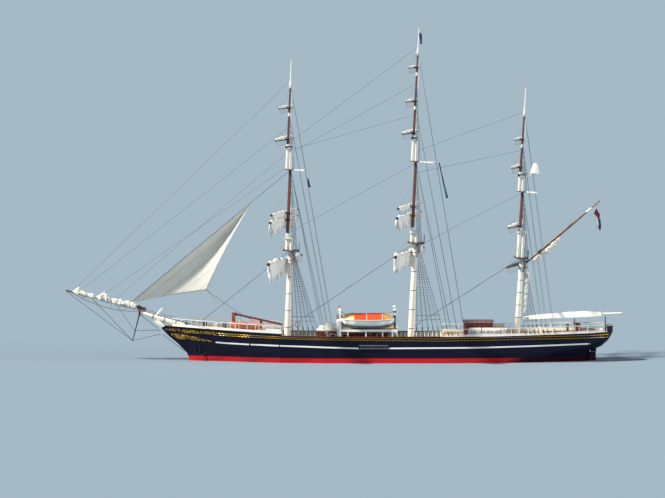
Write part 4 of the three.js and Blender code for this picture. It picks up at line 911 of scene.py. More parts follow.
def build_rails():
    """Turned stanchions with balls and two wires between them, on the CAD rails' line."""
    for side in ("port", "starboard"):
        for name in RAIL_XS:
            smooth_copy(f"{name}_{side}", WHITE, 30, bevel=0.012)
    posts = Shape()
    wires = Shape()
    for deck, start, end in RAIL_XS.values():
        xs = steps(start, end, int(abs(start - end) / 1.1))
        feet = [foot for foot in (rail_foot(deck, x) for x in xs) if foot is not None]
        for foot in feet:
            posts.turned([(0.25, 0.035), (0.62, 0.03), (0.64, 0.055), (0.7, 0.055), (0.72, 0.03),
                          (0.98, 0.03)], foot, sides=8)
        for above in (0.45, 0.67):
            wires.tube([foot + Vector((0, 0, above)) for foot in feet], 0.016, 4)
    posts.mirrored().finish("rail_stanchions", WHITE)
    wires.mirrored().finish("rail_wires", WIRE)


def build_bulwark_blocks():
    """The solid white bulwark at the after end of the forecastle, with its rounded corner."""
    block = Shape()
    rings = []
    for x in steps(16.9, 14.75, 14):
        deck = table_value(FORECASTLE_DECK, x)
        y = side_y(x, deck - 0.05)
        rise = 0.62 - 0.3 * max(0, (15.3 - x) / 0.55) ** 2
        rings.append([(x, y - 0.2, deck + 0.02), (x, y - 0.02, deck + 0.02), (x, y - 0.02, deck + rise),
                      (x, y - 0.2, deck + rise)])
    block.loft(rings)
    block.mirrored().finish("forecastle_screens", WHITE)


def build_windlass():
    """Windlass and bitts on the forecastle, and mushroom vents there and on the poop."""
    gear = Shape()
    deck = table_value(FORECASTLE_DECK, 25.2)
    gear.turned([(-0.95, 0.16), (-0.75, 0.16), (-0.7, 0.3), (-0.35, 0.24), (0.35, 0.24), (0.7, 0.3),
                 (0.75, 0.16), (0.95, 0.16)], (25.2, 0, deck + 0.5), (0, 1, 0), 20)
    for y in (-0.45, 0.45):
        gear.box((24.95, y - 0.06, deck), (25.45, y + 0.06, deck + 0.62))
    for x, y in ((22.6, 1.6), (22.6, -1.6), (27.6, 0.7), (27.6, -0.7)):
        height = table_value(FORECASTLE_DECK, x)
        for offset in (-0.18, 0.18):
            gear.turned([(0, 0.1), (0.5, 0.1), (0.5, 0.14), (0.56, 0.14)], (x + offset, y, height), sides=12)
    gear.finish("windlass_and_bitts", IRON)
    vents = Shape()
    for x, y, deck_table in (
        (18.2, -1.4, FORECASTLE_DECK), (23.6, 0.9, FORECASTLE_DECK), (-9.2, 2.6, POOP_DECK),
        (-9.2, -2.6, POOP_DECK), (-20.5, 1.8, POOP_DECK), (-20.5, -1.8, POOP_DECK),
    ):
        vents.turned([(0, 0.14), (0.5, 0.14), (0.52, 0.24), (0.62, 0.24), (0.7, 0.08)],
                     (x, y, table_value(deck_table, x)), sides=16)
    vents.finish("mushroom_vents", WHITE)


def build_cowls():
    """Cowl ventilators on the main deck, which look forward."""
    height, size, deck = 1.9, 0.34, 2.2
    cowls = Shape()
    for x, y in ((-0.9, 3.6), (-0.9, -3.6), (8.4, 3.2), (8.4, -3.2)):
        path = [(x, y, deck), (x, y, deck + height * 0.6), (x + 0.05, y, deck + height * 0.8),
                (x + size * 0.6, y, deck + height), (x + size * 1.1, y, deck + height * 1.02)]
        cowls.tube(path, [size * 0.5, size * 0.5, size * 0.55, size * 0.8, size], 14)
    cowls.finish("cowl_vents", WHITE)


# Houses, boats and rafts

def windows_along(glass, frames, xs, y, z, width, height, sign):
    """A row of windows on a house's side, each in a frame of four slats."""
    half, slat = width / 2, 0.06
    for x in xs:
        glass.box((x - half, sign * y - 0.02, z), (x + half, sign * y + 0.02, z + height))
        for low, high in (((x - half - slat, z - slat), (x + half + slat, z)),
                          ((x - half - slat, z + height), (x + half + slat, z + height + slat)),
                          ((x - half - slat, z), (x - half, z + height)),
                          ((x + half, z), (x + half + slat, z + height))):
            frames.box((low[0], sign * y - 0.02, low[1]), (high[0], sign * y + 0.045, high[1]))


def build_houses():
    for node in ("midship_house", "poop_house"):
        smooth_copy(node, MAHOGANY, 30, bevel=0.03)
    door_side, door_foot, door_height = 2.2, 2.32, 1.75
    glass = Shape()
    frames = Shape()
    poop_frames = Shape()
    doors = Shape()
    for sign in (1, -1):
        windows_along(glass, frames, (1.4, 3.0, 6.2, 7.8), 2.2, 3.15, 0.7, 0.55, sign)
        windows_along(glass, poop_frames, (-10.8, -11.7, -12.6, -13.4), 1.7, 4.7, 0.4, 0.25, sign)
        for x in (4.6, 9.1):
            doors.box((x - 0.38, sign * door_side - 0.02, door_foot),
                      (x + 0.38, sign * door_side + 0.04, door_foot + door_height))
            doors.box((x - 0.28, sign * door_side + sign * 0.02, door_foot + 0.2),
                      (x + 0.28, sign * (door_side + 0.06), door_foot + door_height * 0.45))
    glass.finish("house_windows", GLASS)
    frames.finish("window_frames", WHITE)
    poop_frames.finish("poop_window_frames", MAHOGANY)
    doors.finish("house_doors", MAHOGANY)
    trim = Shape()
    trim.box((0.14, -2.26, 4.18), (9.96, 2.26, 4.28))
    trim.box((-14.14, -1.84, 5.33), (-9.86, 1.84, 5.37))
    trim.finish("house_roof_edges", WHITE)


# Moulded lockers on the midship house's roof: x, side, half length, half width, height
ROOF_LOCKERS = [(9.25, 0.4, 0.42, 0.7, 0.6), (8.35, 0.6, 0.4, 0.8, 1.0), (7.5, 0.2, 0.36, 0.8, 0.8)]


def build_roof_lockers():
    lockers = Shape()
    for x, side, half_x, half_y, height in ROOF_LOCKERS:
        rings = []
        for share, shrink in ((0, 1), (0.6, 1), (0.85, 0.88), (0.97, 0.6), (1, 0.2)):
            ring = []
            for angle in steps(0, 2 * math.pi, 24)[:-1]:
                across, along = math.cos(angle), math.sin(angle)
                corner = max(abs(across), abs(along)) ** 0.6
                ring.append((x + half_x * shrink * across / corner, side + half_y * shrink * along / corner,
                             4.25 + height * share))
            rings.append(ring)
        lockers.loft(rings)
    lockers.finish("roof_lockers", WHITE_SHELL)


def build_deck_fittings():
    """White posts at the fore end of the boat deck, a coil in the fore shrouds and a post at the taffrail."""
    posts = Shape()
    posts.turned([(0, 0.34), (0.1, 0.3), (3.3, 0.3), (3.45, 0.36), (3.6, 0.36), (3.74, 0.2)],
                 (6.95, 4.6, 2.2), sides=20)
    posts.mirrored().finish("boat_deck_posts", WHITE)
    coil = Shape()
    coil_x = 12.6
    inboard = shroud_foot(coil_x).y - 0.42
    for turn in range(4):
        radius = 0.36 - 0.05 * (turn % 2)
        coil.ring((coil_x, inboard + 0.07 * turn, 5.3), (0, 1, 0.1), radius, 0.045, 28)
    coil.finish("hawser_coil", ROPE)
    staff = Shape()
    staff.turned([(0, 0.1), (0.9, 0.07), (1.85, 0.06), (1.9, 0.1), (1.97, 0.04)], (-29.33, 0, 4.02), sides=12)
    staff.finish("taffrail_post", IRON)


# Davits by x, with the x where each one's hook holds the boat, and how far out the boats hang
DAVITS = ((-0.64, 0.2), (6.82, 6.0))
LIFEBOAT_SIDE = 4.2


def build_boat_deck():
    deck = smooth_copy("boat_deck", WHITE, 30, bevel=0.02)
    # Painted shade: the after davits are painted dark iron over the deck, the fore ones white
    paint_faces(deck, [IRON], lambda centre: 1 if centre.x / MODEL < 0.3 and centre.z / MODEL > 4.65 else 0)
    planks = Shape()
    planks.box((-0.9, -4.75, 4.57), (7.0, 4.75, 4.583))
    planks.finish("boat_deck_planks", TEAK)
    caps = Shape()
    falls = Shape()
    for x, hook in DAVITS:
        for sign in (1, -1):
            out = sign * LIFEBOAT_SIDE
            caps.turned([(0, 0.2), (0.1, 0.24), (0.22, 0.2), (0.3, 0.1)], (x, sign * 2.75, 6.98), sides=14)
            caps.turned([(0, 0.1), (0.3, 0.1)], (x, out, 6.5), sides=10)
            falls.tube([(x, out, 6.5), (hook, out, 5.95)], 0.03, 5)
    caps.finish("davit_caps", WHITE)
    falls.finish("boat_falls", WIRE)


def eased(table, x, column):
    """Smooth reading of a table with rows in rising order."""
    for before, after in zip(table, table[1:]):
        if before[0] <= x <= after[0]:
            share = (x - before[0]) / (after[0] - before[0])
            share = share * share * (3 - 2 * share)
            return before[column] + (after[column] - before[column]) * share
    return table[-1][column]


# Boats' sections: share of half the length, half beam, bottom, gunwale
LIFEBOAT_SECTIONS = [(-1, 0.12, 0.75, 1.5), (-0.8, 0.8, 0.25, 1.4), (-0.4, 1.22, 0.02, 1.34),
                     (0, 1.3, 0, 1.32), (0.4, 1.22, 0.02, 1.34), (0.8, 0.8, 0.25, 1.4), (1, 0.12, 0.75, 1.5)]
LIFEBOAT_HALF = 3.65
RESCUE_SECTIONS = [(-1, 0.75, 0.25, 0.9), (-0.6, 0.92, 0.02, 0.86), (0, 0.95, 0, 0.84), (0.5, 0.82, 0, 0.9),
                   (0.85, 0.45, 0.3, 1.0), (1, 0.12, 0.62, 1.02)]
COVER_RISE = {"port": 0.75, "starboard": 0.3}


def boat_hull(shape, sections, half, low=0.0, high=1.0):
    """A round-bilged hull between two shares of its height."""
    rows = []
    for share in steps(-1, 1, 40):
        beam, bottom, gunwale = (eased(sections, share, column) for column in (1, 2, 3))
        half_row = []
        for level in steps(low, high, 8):
            width = beam * (1 - (1 - level) ** 2.6 * 0.75) * min(1, 0.25 + level * 2.2)
            half_row.append((share * half, width, bottom + (gunwale - bottom) * level))
        rows.append([(x, -y, z) for x, y, z in reversed(half_row)] + half_row)
    shape.loft(rows)


def build_lifeboats():
    # Painted shade: each boat's shell is grey up to this share of its height, standing for the shade under
    # the boat, and white gelcoat above
    painted_shade_up_to = 0.42
    for side, sign in SIDES.items():
        place = Matrix.Translation((3.1, sign * LIFEBOAT_SIDE, 4.571))
        shell = Shape()
        boat_hull(shell, LIFEBOAT_SECTIONS, LIFEBOAT_HALF, 0.0, painted_shade_up_to)
        lower = shell.move(place).finish(f"lifeboat_{side}_bottom", GREY_SHELL_AND_SHADE)
        topsides = Shape()
        boat_hull(topsides, LIFEBOAT_SECTIONS, LIFEBOAT_HALF, painted_shade_up_to, 1.0)
        upper = topsides.move(place).finish(f"lifeboat_{side}_topsides", WHITE_SHELL)
        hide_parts(f"lifeboat_{side}")
        build_lifeboat_cover(side, place)
        build_lifeboat_lines(side, place)


def cover_row(x, half, foot, crown):
    """A cover's section at one place, from side to side over its crown."""
    return [(x, half * math.cos(angle), foot + (crown - foot) * math.sin(angle) ** 0.72)
            for angle in steps(0, math.pi, 12)]


def build_lifeboat_cover(side, place):
    """Glass-fibre ends and an orange canvas canopy on bows between them."""
    foot = 1.28
    ends = Shape()
    # No second cover shows over the near one in the photograph, so the far one lies folded lower
    rise = COVER_RISE[side]
    for start, end, sign in ((-3.35, -2.0, -1), (1.7, 3.05, 1)):
        rows = []
        for x in steps(start, end, 8):
            share = (x - start) / (end - start)
            share = share if sign < 0 else 1 - share
            rows.append(cover_row(x, 0.45 + 0.65 * share, foot, foot + 0.12 + 0.8 * rise * share ** 0.6))
        ends.loft(rows)
    ends.move(place).finish(f"lifeboat_{side}_ends", YELLOW_SHELL)
    canopy = Shape()
    rows = []
    for index, x in enumerate(steps(-2.1, 1.8, 24)):
        dip = 0.035 * abs(math.sin(math.pi * index / 6))
        rows.append(cover_row(x, 1.12 - dip, foot, foot + rise - dip))
    canopy.grid(rows)
    seams = Shape()
    for x in (-2.05, 0.1):
        seams.tube(cover_row(x, 1.12, foot, foot + rise), 0.035, 5)
    seams.move(place).finish(f"lifeboat_{side}_canopy_seams", WHITE_SHELL)
    cover = canopy.move(place).finish(f"lifeboat_{side}_canopy", ORANGE_CANVAS)


def build_lifeboat_lines(side, place):
    """Grab lines that droop between their beckets, and the rubbing strake along the gunwale."""
    lines = Shape()
    strake = Shape()
    for sign in (1, -1):
        path = []
        for index, x in enumerate(steps(-3.4, 3.4, 64)):
            beam, gunwale = (eased(LIFEBOAT_SECTIONS, x / LIFEBOAT_HALF, column) for column in (1, 3))
            droop = 0.09 * abs(math.sin(math.pi * index / 4))
            path.append((x, sign * (beam + 0.02), gunwale * 0.92 - droop))
        lines.tube(path, 0.018, 4)
        edge = []
        for share in steps(-1, 1, 30):
            beam, gunwale = (eased(LIFEBOAT_SECTIONS, share, column) for column in (1, 3))
            edge.append((share * LIFEBOAT_HALF, sign * beam, gunwale - 0.03))
        strake.tube(edge, 0.045, 6)
    lines.move(place).finish(f"lifeboat_{side}_grab_lines", ROPE)
    strake.move(place).finish(f"lifeboat_{side}_gunwale", WHITE_SHELL)


def build_rescue_boat():
    middle, half = 19.65, 2.25
    deck = table_value(FORECASTLE_DECK, middle + half / 2)
    place = Matrix.Translation((middle, 1.85, deck + 0.001))
    shell = Shape()
    boat_hull(shell, RESCUE_SECTIONS, half)
    hull = shell.move(place).finish("rescue_boat_hull", SALMON_SHELL)
    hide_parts("rescue_boat")
    collar = Shape()
    for sign in (1, -1):
        path = []
        for share in steps(-1, 0.97, 24):
            beam, gunwale = (eased(RESCUE_SECTIONS, share, column) for column in (1, 3))
            path.append((share * 2.2, sign * (beam - 0.1), gunwale - 0.05))
        collar.tube(path, 0.15, 10)
    collar.move(place).finish("rescue_boat_collar", SALMON_SHELL)
    motor = Shape()
    motor.turned([(0, 0.1), (0.05, 0.17), (0.3, 0.19), (0.42, 0.12)], (-2.1, 0, 0.95), (0, 0, 1), 14)
    motor.box((-2.24, -0.05, 0.4), (-2.1, 0.05, 0.95))
    motor.move(place).finish("rescue_boat_motor", IRON)


def build_rafts():
    for side, sign in SIDES.items():
        smooth_copy(f"life_rafts_{side}", WHITE_SHELL, 35)
        straps = Shape()
        for x in (-11.5, -13.25, -14.95):
            for offset in (-0.5, 0, 0.5):
                straps.ring((x + offset, sign * 4.1, 4.4), (1, 0, 0), 0.375, 0.018, 20)
        straps.finish(f"raft_straps_{side}", ROPE)


def build_steering():
    smooth_copy("steering_wheel", MAHOGANY, 35)
    brass = Shape()
    wheel_x = -25.6
    deck = table_value(POOP_DECK, wheel_x)
    brass.turned([(0, 0.1), (0.05, 0.12), (0.1, 0.05)], (wheel_x + 0.5, 0, deck + 1.15), (1, 0, 0), 16)
    brass.turned([(0, 0.22), (0.75, 0.16), (0.8, 0.2), (1.0, 0.22), (1.12, 0.12)], (-24.2, 0, deck - 0.04),
                 sides=16)
    brass.finish("binnacle_and_wheel_boss", BRONZE)


def build_crane():
    for node in ("crane_post", "crane_jib"):
        smooth_copy(node, MAHOGANY, 35, bevel=0.01)
    hook = Shape()
    hook.tube([(14.8, 0, 4.85), (14.8, 0, 4.35)], 0.02, 5)
    hook.turned([(0, 0.07), (0.2, 0.07)], (14.8, 0, 4.2), sides=10)
    hook.finish("crane_hook", IRON, body="crane_jib")


# Bowsprit

def build_bowsprit():
    bowsprit = smooth_copy("bowsprit", CREAM, 35)

    def striker_paint(centre):
        x, z = centre.x / MODEL, centre.z / MODEL
        if x > 33.9 and z < 6.2:
            return 1
        return 2 if x > 33.6 else 0

    paint_faces(bowsprit, [IRON, YARD_BROWN], striker_paint)
    smooth_copy("jib_boom", BROWN, 35)
    hoops = Shape()
    for share in (0.2, 0.45, 0.7):
        x = 28 + 6.1 * share
        hoops.ring((x, 0, 4.64 + 1.94 * share), (6.1, 0, 1.94), 0.41 - 0.1 * share, 0.04, 20)
    for share in (0.12, 0.35, 0.58, 0.8, 0.97):
        x, z = 33.2 + 10.9 * share, 6.98 + 2.57 * share
        hoops.ring((x, 0, z), (10.9, 0, 2.57), 0.25 - 0.13 * share, 0.03, 16)
    hoops.finish("bowsprit_hoops", IRON)
    head = Shape()
    head.loft([[(31.1, -0.35, 4.5), (30.6, -0.6, 4.75), (30.6, 0.6, 4.75), (31.1, 0.35, 4.5)],
               [(32.2, -0.16, 5.35), (31.5, -0.42, 5.6), (31.5, 0.42, 5.6), (32.2, 0.16, 5.35)]])
    head.finish("stem_head_block", CREAM)


def sag(start, end, drop, count):
    """A rope that hangs a little between two points."""
    start, end = Vector(start), Vector(end)
    return [start.lerp(end, share) - Vector((0, 0, drop * 4 * share * (1 - share)))
            for share in steps(0, 1, count)]


def build_head_rigging():
    """Martingale stays, bobstay, guys and the footropes under the jib-boom."""
    striker = (35.06, 0, 2.7)
    bow_side = side_y(29.6, 3.4) * 0.4
    wires = Shape()
    for start, end, radius, sides in (
        ((44.0, 0, 9.4), striker, 0.035, 5),
        ((40.7, 0, 8.6), striker, 0.035, 5),
        ((37.4, 0, 7.85), (34.75, 0, 4.0), 0.03, 5),
        (striker, (31.2, bow_side, 3.6), 0.035, 5),
        (striker, (31.2, -bow_side, 3.6), 0.035, 5),
        ((34.7, 0, 4.05), (31.3, 0.3, 4.15), 0.03, 5),
        ((34.7, 0, 4.05), (31.3, -0.3, 4.15), 0.03, 5),
        ((33.9, 0, 6.2), (31.6, 0, 4.35), 0.035, 5),
        ((30.9, 0, 3.5), (27.95, 0, 1.25), 0.04, 6),
    ):
        wires.tube([start, end], radius, sides)
    for x, z in ((43.9, 9.45), (38.9, 8.25)):
        for sign in (1, -1):
            wires.tube([(x, 0, z), (23.9, sign * 3.1, 4.35)], 0.025, 5)
    wires.finish("head_stays", WIRE)
    ropes = Shape()
    for sign in (1, -1):
        ropes.tube(sag((43.6, sign * 0.15, 9.4), (34.2, sign * 0.55, 6.7), 0.75, 24), 0.02, 4)
        for share in (0.2, 0.4, 0.6, 0.8):
            x = 43.6 - 9.4 * share
            z = 9.4 - 2.7 * share
            ropes.tube([(x, sign * 0.1, z), (x, sign * (0.15 + 0.4 * share), z - 3 * share * (1 - share))],
                       0.015, 4)
    ropes.finish("jib_boom_footropes", ROPE)


# Masts

def build_masts():
    for name, mast in MASTS.items():
        build_painted_masts(name, mast)
        build_mast_ironwork(name, mast)
        build_mast_ladder(name, mast)
        build_top(name, mast)


def build_painted_masts(name, mast):
    """White lower mast and doublings, brown topmasts, dark tops, brown crosstrees and white outriggers."""
    lower = smooth_copy(f"{name}_lower_mast", CREAM, 35)

    def lower_paint(centre):
        ahead, side, height = mast_place(name, centre)
        on_top = abs(height - mast["top"] + 0.07) < 0.25 and math.hypot(ahead, side) > mast["hounds"] + 0.15
        return 1 if on_top or height > mast["lower_head"] - 0.05 else 0

    paint_faces(lower, [YARD_BROWN], lower_paint)
    upper_doubling = (mast["crosstrees"] - 0.05, mast["topmast_head"] + 0.3)
    collars = [(height - 1.1, height - 0.65) for owner, yard, _, height, *_ in YARDS
               if owner == name and yard in ("royal", "skysail")]
    lower_spar = banded_spar(f"{name}_topmast", [
        (mast["top"] - 0.2, mast["lower_head"] + 0.45), upper_doubling])
    upper_spar = banded_spar(f"{name}_topgallant", [upper_doubling, *collars, (mast["pole_foot"] - 0.9, 60)])
    topmast = smooth_copy(f"{name}_topmast", lower_spar, 35)

    def topmast_paint(centre):
        ahead, side, height = mast_place(name, centre)
        ahead -= SECTION_OFFSET["topmast"]
        if math.hypot(ahead, side) < 0.42:
            return 0
        if abs(height - mast["crosstrees"]) < 0.3:
            return 2 if ahead < -0.5 else 1
        return 2 if ahead < -0.5 else 3

    paint_faces(topmast, [BROWN, WHITE, IRON], topmast_paint)
    smooth_copy(f"{name}_topgallant_mast", upper_spar, 35)


def mast_direction(name):
    lean = math.radians(MASTS[name]["rake"])
    return Vector((-math.sin(lean), 0, math.cos(lean)))


def build_mast_ironwork(name, mast):
    """Hoops, cheeks and caps, in black iron."""
    iron = Shape()
    along = mast_direction(name)
    for height in steps(mast["deck_z"] + 2.2, mast["top"] - 1.4, 4):
        radius = mast["heel"] + (mast["hounds"] - mast["heel"]) * height / mast["top"]
        iron.ring(on_mast(name, "lower", height), along, radius, 0.035, 20)
    for section, heights, radius in (
        ("topmast", (mast["lower_head"] + 0.6, mast["crosstrees"] - 0.8), 0.21),
        ("topgallant", (mast["topmast_head"] + 0.5, mast["pole_foot"] - 1.2), 0.16),
    ):
        for height in heights:
            iron.ring(on_mast(name, section, height), along, radius, 0.03, 16)
    iron.ring(on_mast(name, "lower", mast["lower_head"] - 0.16), along, 0.33, 0.05, 16)
    iron.ring(on_mast(name, "topmast", mast["topmast_head"] - 0.16), along, 0.3, 0.045, 16)
    iron.finish(f"{name}_mast_ironwork", IRON)


def build_mast_ladder(name, mast):
    """Rungs up the after side of the topmast and topgallant mast."""
    ladder = Shape()
    sides = (-0.16, 0.16)
    for section, low, high, back in (
        ("topmast", mast["lower_head"] + 0.6, mast["crosstrees"] - 0.5, 0.3),
        ("topgallant", mast["topmast_head"] + 0.6, mast["pole_foot"] - 1.4, 0.26),
    ):
        for side in sides:
            ladder.tube([on_mast(name, section, height, -back, side) for height in (low, high)], 0.018, 4)
        for height in steps(low, high, int((high - low) / 0.42)):
            ladder.tube([on_mast(name, section, height, -back, side) for side in sides], 0.03, 4)
    ladder.finish(f"{name}_mast_ladder", WHITE)


def build_top(name, mast):
    """Rails at the after edge of the top, and the futtock shrouds below it."""
    rail = Shape()
    back = -0.8 if name == "mizzen" else -1.15
    height = mast["top"]
    for side in (-1.5, -0.75, 0, 0.75, 1.5):
        rail.tube([on_mast(name, "lower", height + above, back, side) for above in (0, 1.0)], 0.03, 5)
    for above in (0.55, 1.0):
        rail.tube([on_mast(name, "lower", height + above, back, side) for side in (-1.5, 1.5)], 0.03, 5)
    rail.finish(f"{name}_top_rail", IRON)
    futtocks = Shape()
    for ahead in (-0.75, -0.5, -0.25):
        for side in (1, -1):
            rim = on_mast(name, "lower", height - 0.14, ahead, side * 1.5)
            foot = on_mast(name, "lower", height - 2.0, ahead * 0.3 - 0.1, side * mast["hounds"])
            futtocks.tube([rim, foot], 0.03, 5)
    futtocks.finish(f"{name}_futtock_shrouds", WIRE)


# Standing rigging

def shroud_foot(x):
    """Where a shroud comes down at the port side: outside the bulwark or rail, on the channel."""
    z = table_value(BULWARK_TOP, x) if -7 <= x <= 14.7 else table_value(POOP_DECK, x) + 0.1
    return Vector((x, side_y(x, z - 0.12) - 0.02, z + 0.02))


def rigging_screw(shape, foot, head):
    """A turnbuckle in the lowest metre of a shroud."""
    run = (head - foot).normalized()
    shape.turned([(0.1, 0.03), (0.16, 0.06), (0.62, 0.06), (0.68, 0.03)], foot, run, 8)


def shroud_net(wires, ratlines, feet, heads, shares, wire_radius, wire_sides, ratline_radius):
    """Shrouds from feet to heads, and ratlines across them at some shares of their length."""
    for foot, head in zip(feet, heads):
        wires.tube([foot, head], wire_radius, wire_sides)
    for share in shares:
        ratlines.tube([foot.lerp(head, share) for foot, head in zip(feet, heads)], ratline_radius, 4)


def build_shrouds():
    for name, mast in MASTS.items():
        wires = Shape()
        ratlines = Shape()
        screws = Shape()
        head_height = mast["top"] - 0.25
        feet = [shroud_foot(x) for x in SHROUDS[name]]
        heads = [on_mast(name, "lower", head_height, -0.14 - 0.06 * index, mast["hounds"] - 0.02 * index)
                 for index in range(len(feet))]
        shares = steps(0.22, 0.93, int((head_height - 5.0) / 0.42))
        shroud_net(wires, ratlines, feet, heads, shares, 0.024, 5, 0.01)
        for foot, head in zip(feet, heads):
            rigging_screw(screws, foot, head)
        sheer = [foot.lerp(head, 0.18) for foot, head in zip(feet, heads)]
        wires.tube([sheer[0] + Vector((0.15, 0, 0)), sheer[-1] - Vector((0.15, 0, 0))], 0.035, 5)
        backstay_tops = {
            "topmast": on_mast(name, "topmast", mast["crosstrees"] - 0.3, -0.1, 0.2),
            "topgallant": on_mast(name, "topgallant", mast["topmast_head"] + 4.0, -0.1, 0.16),
            "pole": on_mast(name, "topgallant", mast["pole_foot"] - 0.5, -0.05, 0.12),
        }
        for x, reaches in BACKSTAYS[name]:
            foot = shroud_foot(x)
            wires.tube([foot, backstay_tops[reaches]], 0.02, 5)
            rigging_screw(screws, foot, backstay_tops[reaches])
        build_upper_shrouds(name, mast, wires, ratlines)
        wires.mirrored().finish(f"{name}_shrouds", WIRE)
        ratlines.mirrored().finish(f"{name}_ratlines", WIRE)
        screws.mirrored().finish(f"{name}_rigging_screws", IRON)


def build_upper_shrouds(name, mast, wires, ratlines):
    """Topmast and topgallant shrouds, whose feet spread aft along the top or the crosstrees."""
    for section, low, high, out, spread, radius in (
        ("topmast", mast["top"], mast["crosstrees"] - 0.3, 1.5, (-0.65, -0.85, -1.05, -1.25), 0.2),
        ("topgallant", mast["crosstrees"], mast["pole_foot"] - 5.0, 0.95, (-0.45, -0.75, -0.95), 0.15),
    ):
        feet = [on_mast(name, section, low, ahead - 0.1, out) for ahead in spread]
        heads = [on_mast(name, section, high, -0.05 * index, radius) for index in range(len(spread))]
        shares = steps(0.06, 0.9, int((high - low) / 0.5))
        shroud_net(wires, ratlines, feet, heads, shares, 0.018, 4, 0.009)


# Stays at the head: x and z of the foot, then the head's mast, section and height
STAYS = [
    ((43.1, 9.55), ("fore", "topgallant", 38.0)),
    ((42.4, 9.3), ("fore", "topgallant", 31.6)),
    ((39.5, 8.65), ("fore", "topmast", 26.6)),
    ((37.6, 8.2), ("fore", "topmast", 28.6)),
]
# Stays between masts: the head's mast, section and height, then the foot's
BETWEEN_MASTS = [
    (("main", "topmast", 26.8), ("fore", "topmast", 17.4)),
    (("main", "topgallant", 33.4), ("fore", "topmast", 28.8)),
    (("main", "topgallant", 42.6), ("fore", "topgallant", 29.6)),
    (("main", "topgallant", 37.6), ("fore", "topmast", 28.4)),
    (("mizzen", "topmast", 22.8), ("main", "lower", 15.6)),
    (("mizzen", "topgallant", 28.6), ("main", "topmast", 25.6)),
    (("mizzen", "topgallant", 33.8), ("main", "topmast", 28.6)),
]


def build_stays():
    for node in ("forestay", "jib_stay", "main_stay", "mizzen_stay"):
        smooth_copy(node, WIRE, 40)
    wires = Shape()
    for (x, z), (name, section, height) in STAYS:
        wires.tube([(x, 0, z), on_mast(name, section, height, SECTION_RADIUS[section] * 0.7)], 0.021, 5)
    for (name, section, height), (ahead, ahead_section, foot) in BETWEEN_MASTS:
        wires.tube([on_mast(name, section, height, SECTION_RADIUS[section] * 0.7),
                    on_mast(ahead, ahead_section, foot, -SECTION_RADIUS[ahead_section] * 0.7)], 0.019, 5)
    wires.finish("fore_and_aft_stays", WIRE)


# Yards

def yard_matrix(name, section, height):
    """Turns yard places, which lie square to the mast at its axis, into the ship's."""
    mast = MASTS[name]
    return (Matrix.Translation(on_mast(name, section, height))
            @ Matrix.Rotation(-math.radians(mast["rake"]), 4, "Y")
            @ Matrix.Rotation(-math.radians(mast["brace"]), 4, "Z"))


def spar_radius(radius, share):
    share = abs(share)
    return radius if share < 0.3 else radius * (1 - 0.5 * (share - 0.3) / 0.7)


def build_yards():
    for name, yard, section, height, length, radius, forward, furled in YARDS:
        node = f"{name}_{yard}_yard"
        matrix = yard_matrix(name, section, height)
        build_yard_spar(node, matrix, length, radius, forward, section)
        build_yard_gear(node, matrix, length, radius, forward)
        if yard != "lower_topsail":
            build_lifts(node, matrix, length, forward, 3.2 if length > LONG_YARD else 2.0)
        if furled:
            build_furled_sail(node, matrix, length, radius, forward, furled)
        if node in BUNCHES:
            build_bunched_sail(node, matrix, length, radius, forward)


def build_yard_spar(node, matrix, length, radius, forward, section):
    """The tapered spar on its bracket, with its collar round the mast and its iron bands."""
    half = length / 2
    mast_radius = SECTION_RADIUS[section]
    spar = Shape()
    shares = [-1, -0.995, -0.9, -0.75, -0.6, -0.45, -0.3, 0.3, 0.45, 0.6, 0.75, 0.9, 0.995, 1]
    profile = [(half * share + half, spar_radius(radius, share) * (0.75 if abs(share) == 1 else 1))
               for share in shares]
    spar.turned(profile, (forward, -half, 0), (0, 1, 0), 14)
    spar.box((mast_radius * 0.95, -0.1, -0.1), (forward, 0.1, 0.1))
    made = spar.move(matrix).finish(f"{node}_spar", YARD_BROWN, body=node)
    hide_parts(node)
    irons = Shape()
    if section == "lower":
        arc = [(math.cos(angle) * (mast_radius + 0.03), math.sin(angle) * (mast_radius + 0.03), 0)
               for angle in steps(-0.75, 0.75, 10)]
        irons.tube(arc, 0.08, 8)
    else:
        irons.ring((0, 0, 0), (0, 0, 1), mast_radius + 0.08, 0.07, 24)
    for share in (-0.97, -0.62, -0.3, -0.1, 0.1, 0.3, 0.62, 0.97):
        irons.ring((forward, half * share, 0), (0, 1, 0), spar_radius(radius, share), 0.025, 14)
    irons.move(matrix).finish(f"{node}_irons", IRON, body=node)


def build_yard_gear(node, matrix, length, radius, forward):
    """Jackstay on the yard, and footropes with stirrups below and behind it."""
    half = length / 2
    gear = Shape()
    gear.tube([(forward + radius * 0.4, half * share, spar_radius(radius, share) + 0.05)
               for share in steps(-0.95, 0.95, 16)], 0.018, 4)
    drop = 0.85 if length > LONG_YARD else 0.7
    for sign in (1, -1):
        path = []
        for index, share in enumerate(steps(0.06, 0.97, 32)):
            end = min(1, (0.97 - share) / 0.12, (share - 0.06) / 0.06)
            dip = drop * max(end, 0) ** 0.5 + 0.08 * math.sin(index * math.pi / 4) ** 2
            path.append((forward - radius * 0.8, sign * half * share, -dip * 0.95))
        gear.tube(path, 0.018, 4)
        for share in (0.28, 0.5, 0.72, 0.86):
            gear.tube([(forward - radius * 0.7, sign * half * share, 0),
                       (forward - radius * 0.8, sign * half * share, -drop)], 0.014, 4)
    gear.move(matrix).finish(f"{node}_footropes", ROPE, body=node)


def build_lifts(node, matrix, length, forward, rise):
    """Lifts run from the mast's axis to the yardarms, so that they swing with the yard."""
    lifts = Shape()
    half = length / 2 * 0.96
    for sign in (1, -1):
        lifts.tube([(0, 0, rise), (forward, sign * half, 0.1)], 0.018, 4)
    lifts.move(matrix).finish(f"{node}_lifts", ROPE, body=node)


def ripple(x, y, z):
    return noise.noise(Vector((x, y, z)))


